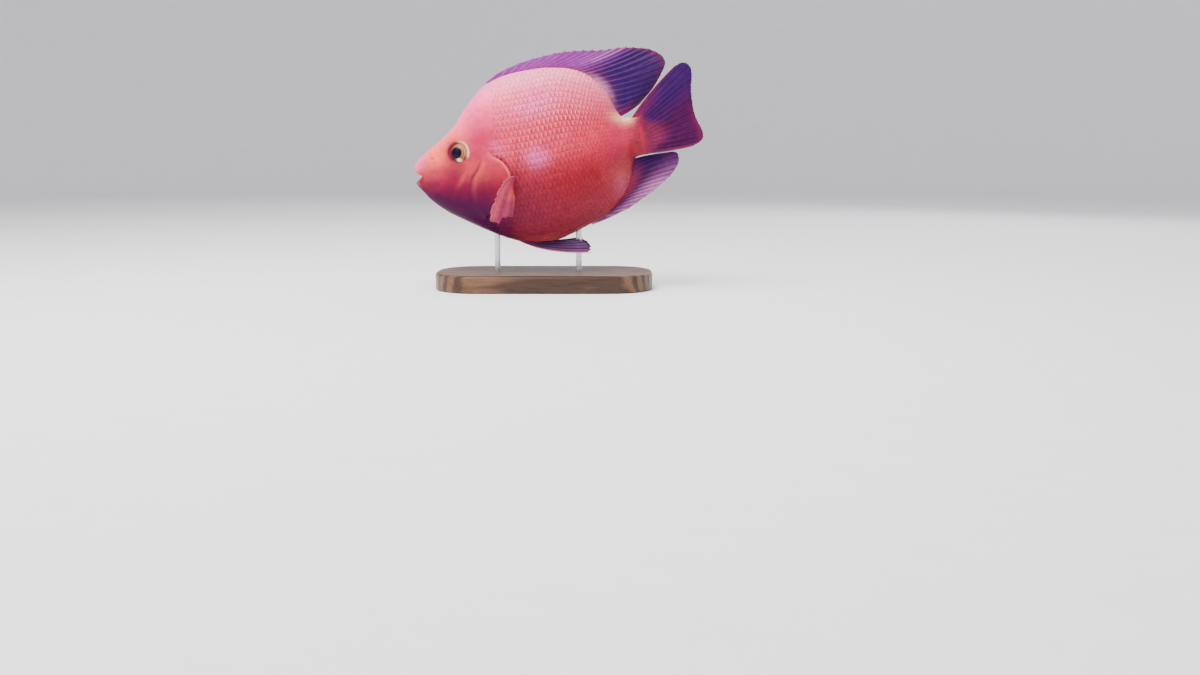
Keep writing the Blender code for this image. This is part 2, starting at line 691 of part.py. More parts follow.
def make_base(stand):
    """Flat plate with rounded corners and a small round on its upper and lower rims."""
    work = bmesh.new()
    bmesh.ops.create_cube(work, size=1)
    bmesh.ops.scale(work, vec=(BASE_LENGTH, BASE_WIDTH, BASE_THICKNESS), verts=work.verts)
    bmesh.ops.translate(work, vec=(0, 0, BASE_THICKNESS / 2), verts=work.verts)
    posts = [e for e in work.edges if abs(e.verts[0].co.z - e.verts[1].co.z) > BASE_THICKNESS / 2]
    bmesh.ops.bevel(work, geom=posts, offset=BASE_CORNER, segments=7, profile=0.5, affect="EDGES")
    mesh = bpy.data.meshes.new("stand_base")
    work.to_mesh(mesh)
    work.free()
    base = bpy.data.objects.new("stand_base", mesh)
    stand.objects.link(base)
    rim = base.modifiers.new("rim", "BEVEL")
    rim.width = BASE_EDGE
    rim.segments = 2
    rim.limit_method = "ANGLE"
    rim.angle_limit = math.radians(60)
    apply_modifiers(base)
    return base


def make_stand(torso, pose, stand, tools):
    """Plate and two upright rods, each let into the plate and into the belly."""
    base = make_base(stand)
    stations = np.arange(len(BELLY_LINE), dtype=float)
    belly = smooth_curve(stations, BELLY_LINE, np.linspace(4, 11, 300))
    rods = []
    for name, place in ROD_PLACES.items():
        under = belly[np.argmin(np.abs(belly[:, 0] - place))]
        x, z = posed(*under)
        x += pose.location.x
        z += pose.location.z
        top = z + ROD_SINK
        foot = BASE_THICKNESS / 2
        rods.append(cylinder("stand_rod_" + name, ROD_RADIUS, foot, top, x, stand))
        socket = cylinder("socket_" + name, ROD_RADIUS + GAP, foot - GAP, top + GAP, x, tools)
        cut(base, "DIFFERENCE", socket)
        cut(torso, "DIFFERENCE", socket)
    return base, rods


def main():
    clear_scene()
    fish = new_collection("blood_parrot_cichlid")
    stand = new_collection("display_stand")
    tools = new_collection("cutters")
    tools.hide_render = True
    head, torso, tail = make_flesh(fish, tools)
    eyes = make_eyes(head, fish, tools)
    covers = make_gill_covers(head, fish, tools)
    cut_nostrils(head, tools)
    fins = make_fins(fish, tools)
    pose = make_pose()
    for obj in fish.objects:
        obj.parent = pose
    base, rods = make_stand(torso, pose, stand, tools)
    for obj in fish.objects:
        move_points(obj, swing)
    for obj in [*fish.objects, *rods]:
        obj.data.shade_smooth()
        obj.data.set_sharp_from_angle(angle=math.radians(50))
    looks = {
        finish("torso_skin", CORAL, 0.35): [torso, tail],
        finish("head_skin", ORANGE, 0.35): [head],
        finish("gill_cover_skin", PINK, 0.35): covers,
        finish("fin_membrane", DUSK, 0.45): fins,
        finish("eye", GOLD, 0.10): eyes,
        finish("walnut", WALNUT, 0.40): [base],
        finish("steel", STEEL, 0.30, 1.0): rods,
    }
    for material, objects in looks.items():
        for obj in objects:
            obj.data.materials.clear()
            obj.data.materials.append(material)


main()
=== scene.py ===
"""Looks of a life-size blood parrot cichlid: skin, scales, fins, eyes, stand and studio.

Every form is worked out in the fish's own level frame, where x runs from the snout to the tail,
z is up and the left flank is at negative y. Finished points are swung at the tail, pitched nose
down and lifted over the stand, to where the packed solids are. Sizes are in metres.
"""

import math

import bpy
import numpy as np
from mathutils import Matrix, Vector


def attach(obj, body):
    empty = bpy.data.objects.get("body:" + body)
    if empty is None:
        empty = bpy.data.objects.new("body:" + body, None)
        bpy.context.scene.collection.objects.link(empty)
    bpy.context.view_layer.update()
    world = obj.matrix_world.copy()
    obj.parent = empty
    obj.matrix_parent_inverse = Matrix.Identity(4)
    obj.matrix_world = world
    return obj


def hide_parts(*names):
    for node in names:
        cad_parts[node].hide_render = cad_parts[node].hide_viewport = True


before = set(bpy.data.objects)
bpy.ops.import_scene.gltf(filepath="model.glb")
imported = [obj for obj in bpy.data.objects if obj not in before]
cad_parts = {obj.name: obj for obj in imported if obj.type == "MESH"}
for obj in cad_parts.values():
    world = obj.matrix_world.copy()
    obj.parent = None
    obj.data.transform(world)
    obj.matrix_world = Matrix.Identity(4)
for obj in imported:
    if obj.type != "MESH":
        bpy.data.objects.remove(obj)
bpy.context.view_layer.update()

bl_info = {
    "name": "Blood Parrot Cichlid",
    "version": (1, 0, 0),
    "blender": (4, 5, 0),
    "location": "3D View > Sidebar > Cichlid",
    "description": "Skin, scales, fins, eyes, stand and studio of a life-size display fish",
    "category": "Add Mesh",
}

# Profile of the body in its level frame, ring by ring, along the back and along the belly.
BACK_LINE = np.array([
    (0.0000, 0.0046), (0.0034, 0.0102), (0.0107, 0.0152), (0.0215, 0.0212), (0.0320, 0.0283),
    (0.0445, 0.0412), (0.0570, 0.0512), (0.0720, 0.0562), (0.0900, 0.0573), (0.1080, 0.0556),
    (0.1230, 0.0508), (0.1335, 0.0425), (0.1402, 0.0325), (0.1440, 0.0205), (0.1475, 0.0148),
    (0.1530, 0.0133), (0.1585, 0.0129)])
BELLY_LINE = np.array([
    (-0.0004, -0.0045), (0.0030, -0.0102), (0.0085, -0.0183), (0.0180, -0.0278), (0.0300, -0.0366),
    (0.0430, -0.0455), (0.0570, -0.0538), (0.0720, -0.0590), (0.0900, -0.0597), (0.1080, -0.0550),
    (0.1240, -0.0496), (0.1360, -0.0408), (0.1440, -0.0312), (0.1480, -0.0222), (0.1498, -0.0158),
    (0.1530, -0.0136), (0.1585, -0.0131)])
WIDTH_AT = np.array([0.0067, 0.020, 0.034, 0.052, 0.072, 0.092, 0.112, 0.130, 0.145, 0.153, 0.160])
HALF_WIDTH = np.array([
    0.0046, 0.0124, 0.0176, 0.0238, 0.0265, 0.0255, 0.0202, 0.0126, 0.0068, 0.0043, 0.0018])
LAST_RING = len(BACK_LINE) - 1
FLANK_LEVEL = 0.47
UPPER_ROUNDNESS = 1.95
LOWER_ROUNDNESS = 2.10
BROW_ROUNDNESS = 0.60
BROW_RING = 2.6
BROW_RINGS = 2.2
STEP = 1e-4
MIRROR = np.array([1, -1, 1])

# Mouth and lips.
MOUTH_SETBACK = 0.0064
MOUTH_RINGS = 3.0
LIP_SWELL = 0.12
LIP_RING = 0.30
LIP_WIDTH = 0.24
MOUTH_RIM = 0.80
MOUTH_DEPTH = 0.0060
LIP_ROLL = 0.0005
THROAT_END = np.array([0.0002, 0, 0])

# Head forms, as side-view places and lines.
EYE_PLACE = (0.0344, 0.0107)
EYE_RADIUS = 0.0068
EYE_BULGE = 0.0046
EYE_SUNK = 0.0026
NOSTRIL_PLACE = (0.0150, 0.0098)
NOSTRIL_RADIUS = 0.0009
GILL_EDGE = np.array([
    (0.0575, 0.0700), (0.0560, 0.0400), (0.0535, 0.0150), (0.0570, 0.0048), (0.0618, 0.0008),
    (0.0652, -0.0042), (0.0668, -0.0105), (0.0645, -0.0158), (0.0585, -0.0230), (0.0510, -0.0298),
    (0.0420, -0.0375), (0.0340, -0.0520), (0.0290, -0.0700)])
CHEEK_EDGE = np.array([
    (0.0520, 0.0108), (0.0495, 0.0035), (0.0460, -0.0020), (0.0416, -0.0068), (0.0385, -0.0125),
    (0.0373, -0.0195), (0.0383, -0.0275), (0.0420, -0.0345)])
JAW_FOLD = np.array([(0.0062, 0.0002), (0.0100, -0.0032), (0.0128, -0.0085), (0.0135, -0.0130)])
CREASE_HEIGHT = -0.0045
CREASE_SHADE = (0.15, 0.0050)
CREASE_SINK = (0.20, 0.0060)
ORBIT_RADIUS = 0.0079
ORBIT_WIDTH = 0.0013
ORBIT_HEIGHT = 0.00075
ORBIT_SLANT = (0.85, 0.30, 1.0)
SOCKET_EDGE = (-0.0066, -0.0054)
SOCKET_DEPTH = 0.0030
COLLAR_AT = 1.7  # in radii of the nostril
COLLAR_WIDTH = 0.6
COLLAR_HEIGHT = 0.00018
NOSTRIL_DEPTH = 0.00100
COVER_TOP = 0.0108
COVER_FADE = 0.0080
COVER_EDGE = 0.0040
GILL_LIFT = 0.0009
GILL_RAMP = 0.0140
RELIEF_FROM = 0.0050

# Skin mesh: columns from the lips to the gill slit and on to the tail, and lines round the body.
HEAD_COLUMNS = 250
REAR_COLUMNS = 110
AROUND = 232
FLANK_CROWDING = 0.32
FLAP_STEP = 0.004  # in rings
# The gill cover's free edge: how far each line under it slides forward, and its share of the lift.
FLAP_TURN = ((0.0000, 0.62), (0.0002, 0.30), (0.0007, 0.05))
SLIT_RINGS = (3.0, 9.5)
HALVINGS = 26
SLIT_SLIDE = 0.0009
SLIT_SINK = 0.0005
SLIT_FADE = 0.0009
LATERAL_LINE = np.array([(0.066, 0.020), (0.090, 0.0285), (0.118, 0.0215)])
LATERAL_DEPTH = 0.00012
LATERAL_WIDTH = 0.0009

# The tail root's wedge over the fin.
RUNOUT = 0.0045
RUNOUT_LEAST = 0.0044
RUNOUT_LOBE = -0.35
RUNOUT_SPREAD = 0.55
RUNOUT_LOOPS = 14
RUNOUT_SLOPES = (0.02, 0.22, 0.70)

# Fins: outer margins in side view, and roots, aims and margins of the paired ones.
DORSAL_MARGIN = np.array([
    (0.0600, 0.0540), (0.0711, 0.0594), (0.0873, 0.0631), (0.1011, 0.0644), (0.1159, 0.0647),
    (0.1305, 0.0631), (0.1433, 0.0611), (0.1542, 0.0605), (0.1640, 0.0585), (0.1735, 0.0553),
    (0.1798, 0.0508), (0.1820, 0.0450), (0.1788, 0.0388), (0.1715, 0.0303), (0.1610, 0.0215)])
ANAL_MARGIN = np.array([
    (0.1135, -0.0540), (0.1240, -0.0522), (0.1317, -0.0500), (0.1423, -0.0468), (0.1594, -0.0386),
    (0.1705, -0.0320), (0.1772, -0.0262), (0.1806, -0.0205), (0.1790, -0.0152), (0.1690, -0.0142)])
TAIL_MARGIN = np.array([
    (0.1875, 0.0412), (0.1932, 0.0423), (0.1968, 0.0390), (0.1970, 0.0325), (0.1950, 0.0240),
    (0.1944, 0.0155), (0.1952, 0.0060), (0.1980, -0.0045), (0.1970, -0.0100), (0.1900, -0.0130)])
TAIL_ROOT = np.array([(0.1520, 0.0114), (0.1535, 0.0), (0.1520, -0.0116)])
PECTORAL_ROOT = np.array([(0.0704, -0.0112), (0.0686, -0.0150), (0.0655, -0.0188)])
PECTORAL_AIM = np.array([
    (-0.0085, -0.0200, 0.0040), (-0.0030, -0.0180, 0.0000), (0.0030, -0.0140, -0.0040)])
PECTORAL_MARGIN = np.array([
    (0.0478, -0.0360, -0.0350), (0.0515, -0.0370, -0.0368), (0.0560, -0.0385, -0.0380),
    (0.0605, -0.0390, -0.0378), (0.0640, -0.0385, -0.0358), (0.0655, -0.0375, -0.0325)])
PELVIC_ROOT = np.array([
    (0.0585, -0.0070, -0.0515), (0.0630, -0.0050, -0.0535), (0.0665, -0.0030, -0.0555)])
PELVIC_AIM = np.array([
    (0.0165, -0.0030, -0.0160), (0.0170, -0.0030, -0.0105), (0.0175, -0.0030, -0.0060)])
PELVIC_MARGIN = np.array([
    (0.1105, -0.0140, -0.0717), (0.1120, -0.0130, -0.0688), (0.1110, -0.0115, -0.0650),
    (0.1095, -0.0100, -0.0615)])
DORSAL_RINGS = (6.35, 13.7)
ANAL_RINGS = (9.45, 14.0)
DORSAL_SWEEP = 0.7
ANAL_SWEEP = 0.6
DORSAL_BOW = -0.03
ANAL_BOW = 0.02
TAIL_BOW = 0.03
ROOT_DEPTH = 0.0025
# Each fin: rays, rows along a ray, thickness at the root, the share of its length that has
# spines, unevenness of its margin, loss of length behind, height of its rays, and clearness.
FINS = {
    "dorsal_fin": (27, 60, 0.0022, 0.62, 0.004, 0.0, 1.0, 0.04),
    "anal_fin": (16, 60, 0.0022, 0.62, 0.004, 0.0, 1.0, 0.04),
    "caudal_fin": (17, 72, 0.0024, 0.0, 0.004, 0.0, 1.0, 0.04),
    "pectoral_fin": (12, 48, 0.0018, 0.0, 0.035, 0.0, 0.48, 0.16),
    "pelvic_fin": (6, 64, 0.0024, 0.18, 0.018, 0.12, 1.0, 0.06),
}
COLUMNS_PER_RAY = 12
FLESHY_ROOT = 0.14
SPINE_REACH = 0.05
RAY_REACH = 0.007
LAPPET_STEP = 0.15
WAVE = 0.0006
FRINGE = 0.0016
FRINGE_TURNS = (37.0, 13.0)
RAYS_PER_MAP = 40
SPINE_TO_RAY = 0.06
HALVES_APART = 0.20
QUARTERS_APART = 0.085
RAY_WIDTH = 0.13
RAY_THINNING = 0.060

# Scales: lattice on the flank, and the mesh of one scale.
SCALES_FROM = 0.0400
SCALES_TO = 0.1580
ARC_REACH = 0.0950
TAIL_SCALE_LOSS = 0.38
EDGE_ROOM = 0.0016
SCALE_LENGTHWISE = 5
SCALE_CROSSWISE = 5
SCALE_OVERLAP = 0.95
OFBAKE_PATCH = 0.003
SCALE_FRONT = 0.30
SCALE_REAR = (0.44, 2.3)  # how far the rear edge comes in at the sides, and its power
SCALE_HALF_HEIGHT = 0.60
# Tilt in depths of the coat: level, rise to the rear, its power, sag to the sides, and offset.
SCALE_TILT = (0.62, 1.05, 1.2, 0.18, 0.52)
LEAST_RELIEF = 0.55
LOOSE_EDGE = 0.0002
SCALE_VARIATION = 0.035
COLOUR_VARIATION = (0.93, 1.06)
FLECK_HIGHLIGHT_VARIATION = (0.70, 1.20)
# Where the scales' painted highlights show: a strength and its oval in side view.
UPPER_FLECK_HIGHLIGHTS = (0.72, ("oval", (0.1060, 0.0270), (0.0270, 0.0130), -8))
FRONT_FLECK_HIGHLIGHTS = (0.34, ("oval", (0.0850, 0.0080), (0.0240, 0.0150)))
LEAST_FLECK_HIGHLIGHT = 0.03

# Eyeball mesh.
EYE_ROWS = 64
EYE_COLUMNS = 72
EYE_CROWDING = 1.25
EYE_DIP = 0.00045
EYE_DIP_AT = 0.70
EYE_DIP_WIDTH = 0.11
EYE_LENS = 0.00030

# The tail's swing to the left, the lag of the lobes above and below it, and the pose.
SWING_FROM = 0.118
SWING_RADIUS = 0.168
LOBE_TRAIL = 0.0100
DORSAL_LOBE = (0.45, 0.40)
ANAL_LOBE = (0.15, 0.50)
TAIL_CURL = 0.0040
TAIL_FOLD = 0.7
PITCH = math.radians(10.3)
BASE_THICKNESS = 0.012
FIN_CLEARANCE = 0.014
SNOUT_SETBACK = 0.0885

# Backdrop: radius of its flat floor, radius of the curve round it, and height of its wall.
BOWL_FLOOR = 1.9
BOWL_CURVE = 0.7
BOWL_HEIGHT = 3.0
BOWL_STEPS = 16
BOWL_SIDES = 96

# Finishes: noise, the Mix node's colour sockets, and how far red, green and blue light soaks in.
NOISE_ROUGHNESS = 0.55
MIX_SOCKETS = (6, 7, 2)
CLOUDS_PER_METRE = 260.0
SPECKS_PER_METRE = 1900.0
FLESH_GLOW = (1.0, 0.30, 0.22)
MEMBRANE_GLOW = (1.0, 0.35, 0.45)

# Camera of the photograph, from the place of the fish in it.
CAMERA_PLACE = (0.0387, -0.8125, 0.0953)
CAMERA_DIP = 9.13
SENSOR = 36.0
NEAREST_SEEN = 0.01

# Lamps: width, place and colour of each, and the point that they look at.
LAMPS = {
    "key": (0.7, (-0.25, -0.30, 0.95), (1.0, 0.97, 0.95)),
    "fill": (0.8, (-0.72, -0.82, 0.56), (1.0, 0.97, 0.96)),
    "rear": (0.8, (0.60, 0.75, 0.60), (0.93, 0.93, 1.0)),
    "ceiling": (2.6, (0.0, 0.0, 2.6), (1.0, 1.0, 1.0)),
}
LAMP_AIM = (0.0, 0.0, 0.09)
SKY_COLOUR = (0.86, 0.88, 1.0)


def colour_of(name, default, description):
    """A colour that a user may change."""
    return bpy.props.FloatVectorProperty(
        name=name, description=description, subtype="COLOR", size=3, min=0.0, max=1.0, default=default)


def length_of(name, default, description):
    """A length in metres that a user may change."""
    return bpy.props.FloatProperty(
        name=name, description=description, default=default, min=0.0, max=1.0, precision=5, unit="LENGTH")


def share_of(name, default, description):
    """A share from 0 to 1 that a user may change."""
    return bpy.props.FloatProperty(
        name=name, description=description, default=default, min=0.0, max=1.0, subtype="FACTOR")


def power_of(name, default, description):
    """A lamp's power in watts that a user may change."""
    return bpy.props.FloatProperty(name=name, description=description, default=default, unit="POWER")


class FleshSettings(bpy.types.PropertyGroup):
    """Colours of the skin and of the scales that lie on it."""

    # Crest and back: partly painted light, paler where light falls from above.
    crest: colour_of("Crest", (1.0, 0.22, 0.34), "Pale pink along the back")
    back: colour_of("Back", (0.95, 0.098, 0.205), "Pink below the back")
    flank: colour_of("Flank", (0.68, 0.027, 0.072), "Coral rose of the sides")
    # Belly and keel: partly painted shade, darker where shade falls below.
    belly: colour_of("Belly", (0.29, 0.0075, 0.020), "Red below the middle of the sides")
    keel: colour_of("Keel", (0.23, 0.023, 0.042), "Dusky red along the belly's edge")
    snout: colour_of("Snout", (0.95, 0.125, 0.074), "Orange of the snout and round the eye")
    nape: colour_of("Nape", (0.97, 0.078, 0.260), "Lilac pink between forehead and back")
    forehead: colour_of("Forehead", (0.63, 0.029, 0.135), "Pink of the forehead")
    cheek: colour_of("Cheek", (0.40, 0.014, 0.058), "Rose of the cheek and gill cover")
    # Jaw: crimson under the cheek, also laid as painted shade in the cheek's crease, behind the gill cover's
    # edge, at the pectoral fin's root and under the tail root by the anal fin.
    jaw: colour_of("Jaw", (0.15, 0.003, 0.032), "Crimson under the cheek")
    # Throat: plum partly painted shade under the head.
    throat: colour_of("Throat", (0.050, 0.0010, 0.035), "Plum of the throat")
    lip: colour_of("Lip", (0.84, 0.170, 0.380), "Pale rim of the lips")
    mouth: colour_of("Mouth", (0.06, 0.006, 0.015), "Inside of the mouth")
    cream: colour_of("Cream", (1.0, 0.50, 0.24), "Pale yellow on the upper edge of the tail root")
    # Lilac: painted highlight on the flank and along the top of the head.
    lilac: colour_of("Lilac", (0.80, 0.110, 0.400), "Lilac bloom on the flank")
    crimson: colour_of("Crimson", (0.44, 0.009, 0.058), "Patch behind the eye")
    # Gill rim: a painted highlight on the gill cover's edge, also laid as lighter skin beside the cheek's
    # crease and along the belly's lowest edge.
    rim: colour_of("Gill rim", (1.0, 0.16, 0.10), "Bright edge of the gill cover")
    # Painted shade in front of the eye and round the socket's edge.
    dusk: colour_of("Dusk", (0.20, 0.022, 0.024), "Brown shade in front of the eye")
    pearl: colour_of("Pearl", (0.98, 0.66, 0.36), "Pale fold behind the eye")
    # Painted highlight: the pale glint on each scale.
    fleck: colour_of("Fleck", (1.0, 0.36, 0.40), "Pale middle of each scale")


class ScaleSettings(bpy.types.PropertyGroup):
    """Sizes of the scales on the middle of the flank."""

    pitch: length_of("Pitch", 0.0030, "Distance from a scale to the next one behind it")
    row: length_of("Row", 0.0042, "Distance between rows")
    coat: length_of("Coat", 0.00024, "Depth of the skin under the outer face of the scales")
    thickness: length_of("Thickness", 0.00007, "Thickness of a scale")
    reach: bpy.props.FloatProperty(
        name="Reach", description="Length of a scale in pitches", default=1.75, min=1.0, max=3.0)


class FinSettings(bpy.types.PropertyGroup):
    """Colours and thickness of the fins."""

    membrane: length_of("Membrane", 0.00032, "Thickness between the rays")
    ray_root: length_of("Ray root", 0.00115, "Thickness of a ray at the body")
    ray_tip: length_of("Ray tip", 0.00052, "Thickness of a ray at the margin")
    base: colour_of("Base", (0.135, 0.013, 0.050), "Fleshy base of the tail fin")
    coral: colour_of("Coral", (0.36, 0.030, 0.064), "Pectoral fins and fleshy base of the anal fin")
    mauve: colour_of("Mauve", (0.215, 0.028, 0.27), "Front of the dorsal fin and middle of the anal fin")
    # Indigo is partly painted: the dark blue light seen through thin fins is painted into their colour.
    indigo: colour_of("Indigo", (0.011, 0.0026, 0.066), "Rear lobes and upper part of the tail fin")
    plum: colour_of("Plum", (0.032, 0.0015, 0.044), "Lower lobe of the tail fin and the pelvic fins")
    rose: colour_of("Rose", (0.21, 0.014, 0.052), "Margins and roots of rays")
    pale: colour_of("Pale", (0.78, 0.36, 0.55), "Light streaks on rays")
    amber: colour_of("Amber", (0.56, 0.062, 0.040), "Orange edge of the pectoral fins")


class EyeSettings(bpy.types.PropertyGroup):
    """Colours and shares of the eyes."""

    pupil: colour_of("Pupil", (0.003, 0.002, 0.008), "Pupil")
    ring: colour_of("Ring", (0.62, 0.34, 0.085), "Thin ring round the pupil")
    iris: colour_of("Iris", (0.30, 0.062, 0.030), "Iris")
    # Cream also paints the reflection below the pupil.
    cream: colour_of("Cream", (0.95, 0.86, 0.58), "Pale crescent above and behind the pupil")
    # Shade: painted shade in front of the pupil and round the eyeball's rim.
    shade: colour_of("Shade", (0.060, 0.008, 0.040), "Dusk in front of and below the pupil")
    pupil_share: share_of("Pupil share", 0.57, "Radius of the pupil in radii of the eyeball")
    pupil_ahead: length_of("Pupil ahead", 0.0013, "How far the pupil sits ahead of the eyeball's middle")


class StandSettings(bpy.types.PropertyGroup):
    """Colours of the stand."""

    wood: colour_of("Wood", (0.145, 0.070, 0.034), "Walnut between its dark lines")
    grain: colour_of("Grain", (0.045, 0.020, 0.010), "Dark lines of the walnut")
    steel: colour_of("Steel", (0.62, 0.62, 0.63), "Brushed steel of the rods")


class StudioSettings(bpy.types.PropertyGroup):
    """Camera, lamps and backdrop."""

    lens: bpy.props.FloatProperty(name="Lens", description="Focal length in millimetres", default=35.0)
    key: power_of("Key lamp", 27.0, "Power of the soft lamp over the fish")
    fill: power_of("Fill lamp", 3.2, "Power of the lamp beside the camera")
    rear: power_of("Rear lamp", 5.0, "Power of the lamp behind the fish")
    ceiling: power_of("Ceiling lamp", 45.0, "Power of the wide lamp overhead")
    sky: bpy.props.FloatProperty(name="Sky", description="Strength of the light from all round", default=0.20)
    paper: colour_of("Paper", (0.80, 0.80, 0.82), "Floor and backdrop")


SETTINGS = {
    "cichlid_flesh": FleshSettings,
    "cichlid_scales": ScaleSettings,
    "cichlid_fins": FinSettings,
    "cichlid_eyes": EyeSettings,
    "cichlid_stand": StandSettings,
    "cichlid_studio": StudioSettings,
}


def smooth_curve(knots, values, at):
    """Cubic through the knots, with slopes taken from each knot's neighbours."""
    slopes = np.gradient(values, knots, axis=0)
    at = np.clip(at, knots[0], knots[-1])
    i = np.clip(np.searchsorted(knots, at) - 1, 0, len(knots) - 2)
    step = knots[i + 1] - knots[i]
    t = (at - knots[i]) / step
    if values.ndim == 2:
        step, t = step[..., None], t[..., None]
    start = values[i] * (1 + 2 * t) * (1 - t) ** 2 + slopes[i] * step * t * (1 - t) ** 2
    end = values[i + 1] * (3 - 2 * t) * t**2 - slopes[i + 1] * step * (1 - t) * t**2
    return start + end


def along(line, share):
    """Points at shares of the length of the smooth curve through a line's points."""
    fine = smooth_curve(np.arange(len(line), dtype=float), line, np.linspace(0, len(line) - 1, 400))
    length = np.r_[0, np.cumsum(np.linalg.norm(np.diff(fine, axis=0), axis=1))]
    at = np.clip(share, 0, 1) * length[-1]
    return np.stack([np.interp(at, length, fine[:, k]) for k in range(line.shape[1])], axis=-1)


def ease(value, start, end):
    """Smooth step from 0 at start to 1 at end, the cubic 3t^2 - 2t^3."""
    t = np.clip((value - start) / (end - start), 0, 1)
    return t * t * (3 - 2 * t)


def bell(distance, width):
    """Bell curve of a distance, 1 in the middle and 1/e at its width."""
    return np.exp(-((distance / width) ** 2))


def blend(base, colour, weight):
    """Moves an array of colours towards one colour by a weight for each point."""
    return base + (np.array(colour) - base) * weight[..., None]


def coated(base, *coats):
    """A base colour under further ones, each laid on by a weight for each point."""
    colour = np.array(base)
    for coat, weight in coats:
        colour = blend(colour, coat, weight)
    return colour


def body_points(ring, angle):
    """Body surface: rings through back, flank and belly, joined by superellipse quarters.

    A ring number runs from 0 at the lips to the last at the tail root. The angle is 0 along the
    back and pi along the belly, and under pi on the left. Heights follow the cosine and widths the
    sine of the angle, each to the power 2 over the roundness.
    """
    stations = np.arange(len(BACK_LINE), dtype=float)
    top = smooth_curve(stations, BACK_LINE, ring)
    bottom = smooth_curve(stations, BELLY_LINE, ring)
    corner = MOUTH_SETBACK * np.clip(1 - ring / MOUTH_RINGS, 0, 1) ** 2
    side_x = (top[..., 0] + bottom[..., 0]) / 2 + corner
    side_z = bottom[..., 1] + FLANK_LEVEL * (top[..., 1] - bottom[..., 1])
    half = smooth_curve(WIDTH_AT, HALF_WIDTH, side_x)
    upper = np.cos(angle) > 0
    brow = BROW_ROUNDNESS * bell(ring - BROW_RING, BROW_RINGS)
    power = 2 / np.where(upper, UPPER_ROUNDNESS + brow, LOWER_ROUNDNESS)
    rise = np.abs(np.cos(angle)) ** power
    spread = np.sign(np.sin(angle)) * np.abs(np.sin(angle)) ** power
    end_x = np.where(upper, top[..., 0], bottom[..., 0])
    end_z = np.where(upper, top[..., 1], bottom[..., 1])
    lip = 1 + LIP_SWELL * bell(ring - LIP_RING, LIP_WIDTH)
    x = side_x + (end_x - side_x) * rise
    y = -half * spread * lip
    z = side_z + (end_z - side_z) * rise * lip
    return np.stack([x, y, z], axis=-1)


def body_axes(ring, angle):
    """Unit vectors of the body surface: towards the tail, and outwards."""
    ring_from, ring_to = np.clip(ring - STEP, 0, LAST_RING), np.clip(ring + STEP, 0, LAST_RING)
    tailward = body_points(ring_to, angle) - body_points(ring_from, angle)
    round_body = body_points(ring, angle + STEP) - body_points(ring, angle - STEP)
    outward = np.cross(round_body, tailward)
    return unit(tailward), unit(outward)


def unit(vectors):
    """Vectors at length 1."""
    return vectors / np.maximum(np.linalg.norm(vectors, axis=-1, keepdims=True), 1e-12)


def flank_spot(place, side):
    """Point and normal of the body nearest to a side-view place, on one side of the head."""
    ring, angle = np.meshgrid(np.linspace(0.5, 9, 340), np.linspace(0.1, 3.0, 300))
    points = body_points(ring, angle)
    nearest = np.argmin(np.hypot(points[..., 0] - place[0], points[..., 2] - place[1]))
    spot = points.reshape(-1, 3)[nearest]
    outward = body_axes(ring, angle)[1].reshape(-1, 3)[nearest]
    flip = np.array([1, -side, 1])
    return spot * flip, outward * flip


def distance_to(line, x, z):
    """Distance from side-view places to the smooth curve through a line, negative in front."""
    fine = along(line, np.linspace(0, 1, 160))
    apart = np.hypot(x[..., None] - fine[:, 0], z[..., None] - fine[:, 1])
    nearest = np.argmin(apart, axis=-1)
    tangent = np.gradient(fine, axis=0)[nearest]
    offset_x, offset_z = x - fine[nearest, 0], z - fine[nearest, 1]
    behind = tangent[..., 0] * offset_z - tangent[..., 1] * offset_x
    return np.min(apart, axis=-1) * np.sign(behind)


def in_place(points):
    """Level points swung at the tail, by the square of the distance past its start, and pitched."""
    x, y, z = points[..., 0], points[..., 1], points[..., 2]
    y = y - np.clip(x - SWING_FROM, 0, None) ** 2 / (2 * SWING_RADIUS)
    lowest = np.min(PELVIC_MARGIN[:, 0] * math.sin(PITCH) + PELVIC_MARGIN[:, 2] * math.cos(PITCH))
    lift = BASE_THICKNESS + FIN_CLEARANCE - lowest
    along_x = x * math.cos(PITCH) - z * math.sin(PITCH) - SNOUT_SETBACK
    along_z = x * math.sin(PITCH) + z * math.cos(PITCH) + lift
    return np.stack([along_x, y, along_z], axis=-1)


def spot_weight(x, z, place, radii, tilt=0.0):
    """Soft oval in side view: a bell of the distance in radii, its long axis tilted by degrees."""
    turn = math.radians(tilt)
    u = (x - place[0]) * math.cos(turn) + (z - place[1]) * math.sin(turn)
    w = (z - place[1]) * math.cos(turn) - (x - place[0]) * math.sin(turn)
    return bell(np.hypot(u / radii[0], w / radii[1]), 1)


def height_share(x, z):
    """Height in the body's side view, -1 on the belly line and 1 on the back line."""
    top = np.interp(x, BACK_LINE[:, 0], BACK_LINE[:, 1])
    bottom = np.interp(x, BELLY_LINE[:, 0], BELLY_LINE[:, 1])
    return (z - (top + bottom) / 2) * 2 / (top - bottom)


def ramp(value, stops, look):
    """Colours along a value, straight between stops of a value and its colour's name."""
    values, names = zip(*stops)
    colours = np.array([getattr(look, name) for name in names])
    return np.stack([np.interp(value, values, colours[:, k]) for k in range(3)], axis=-1)


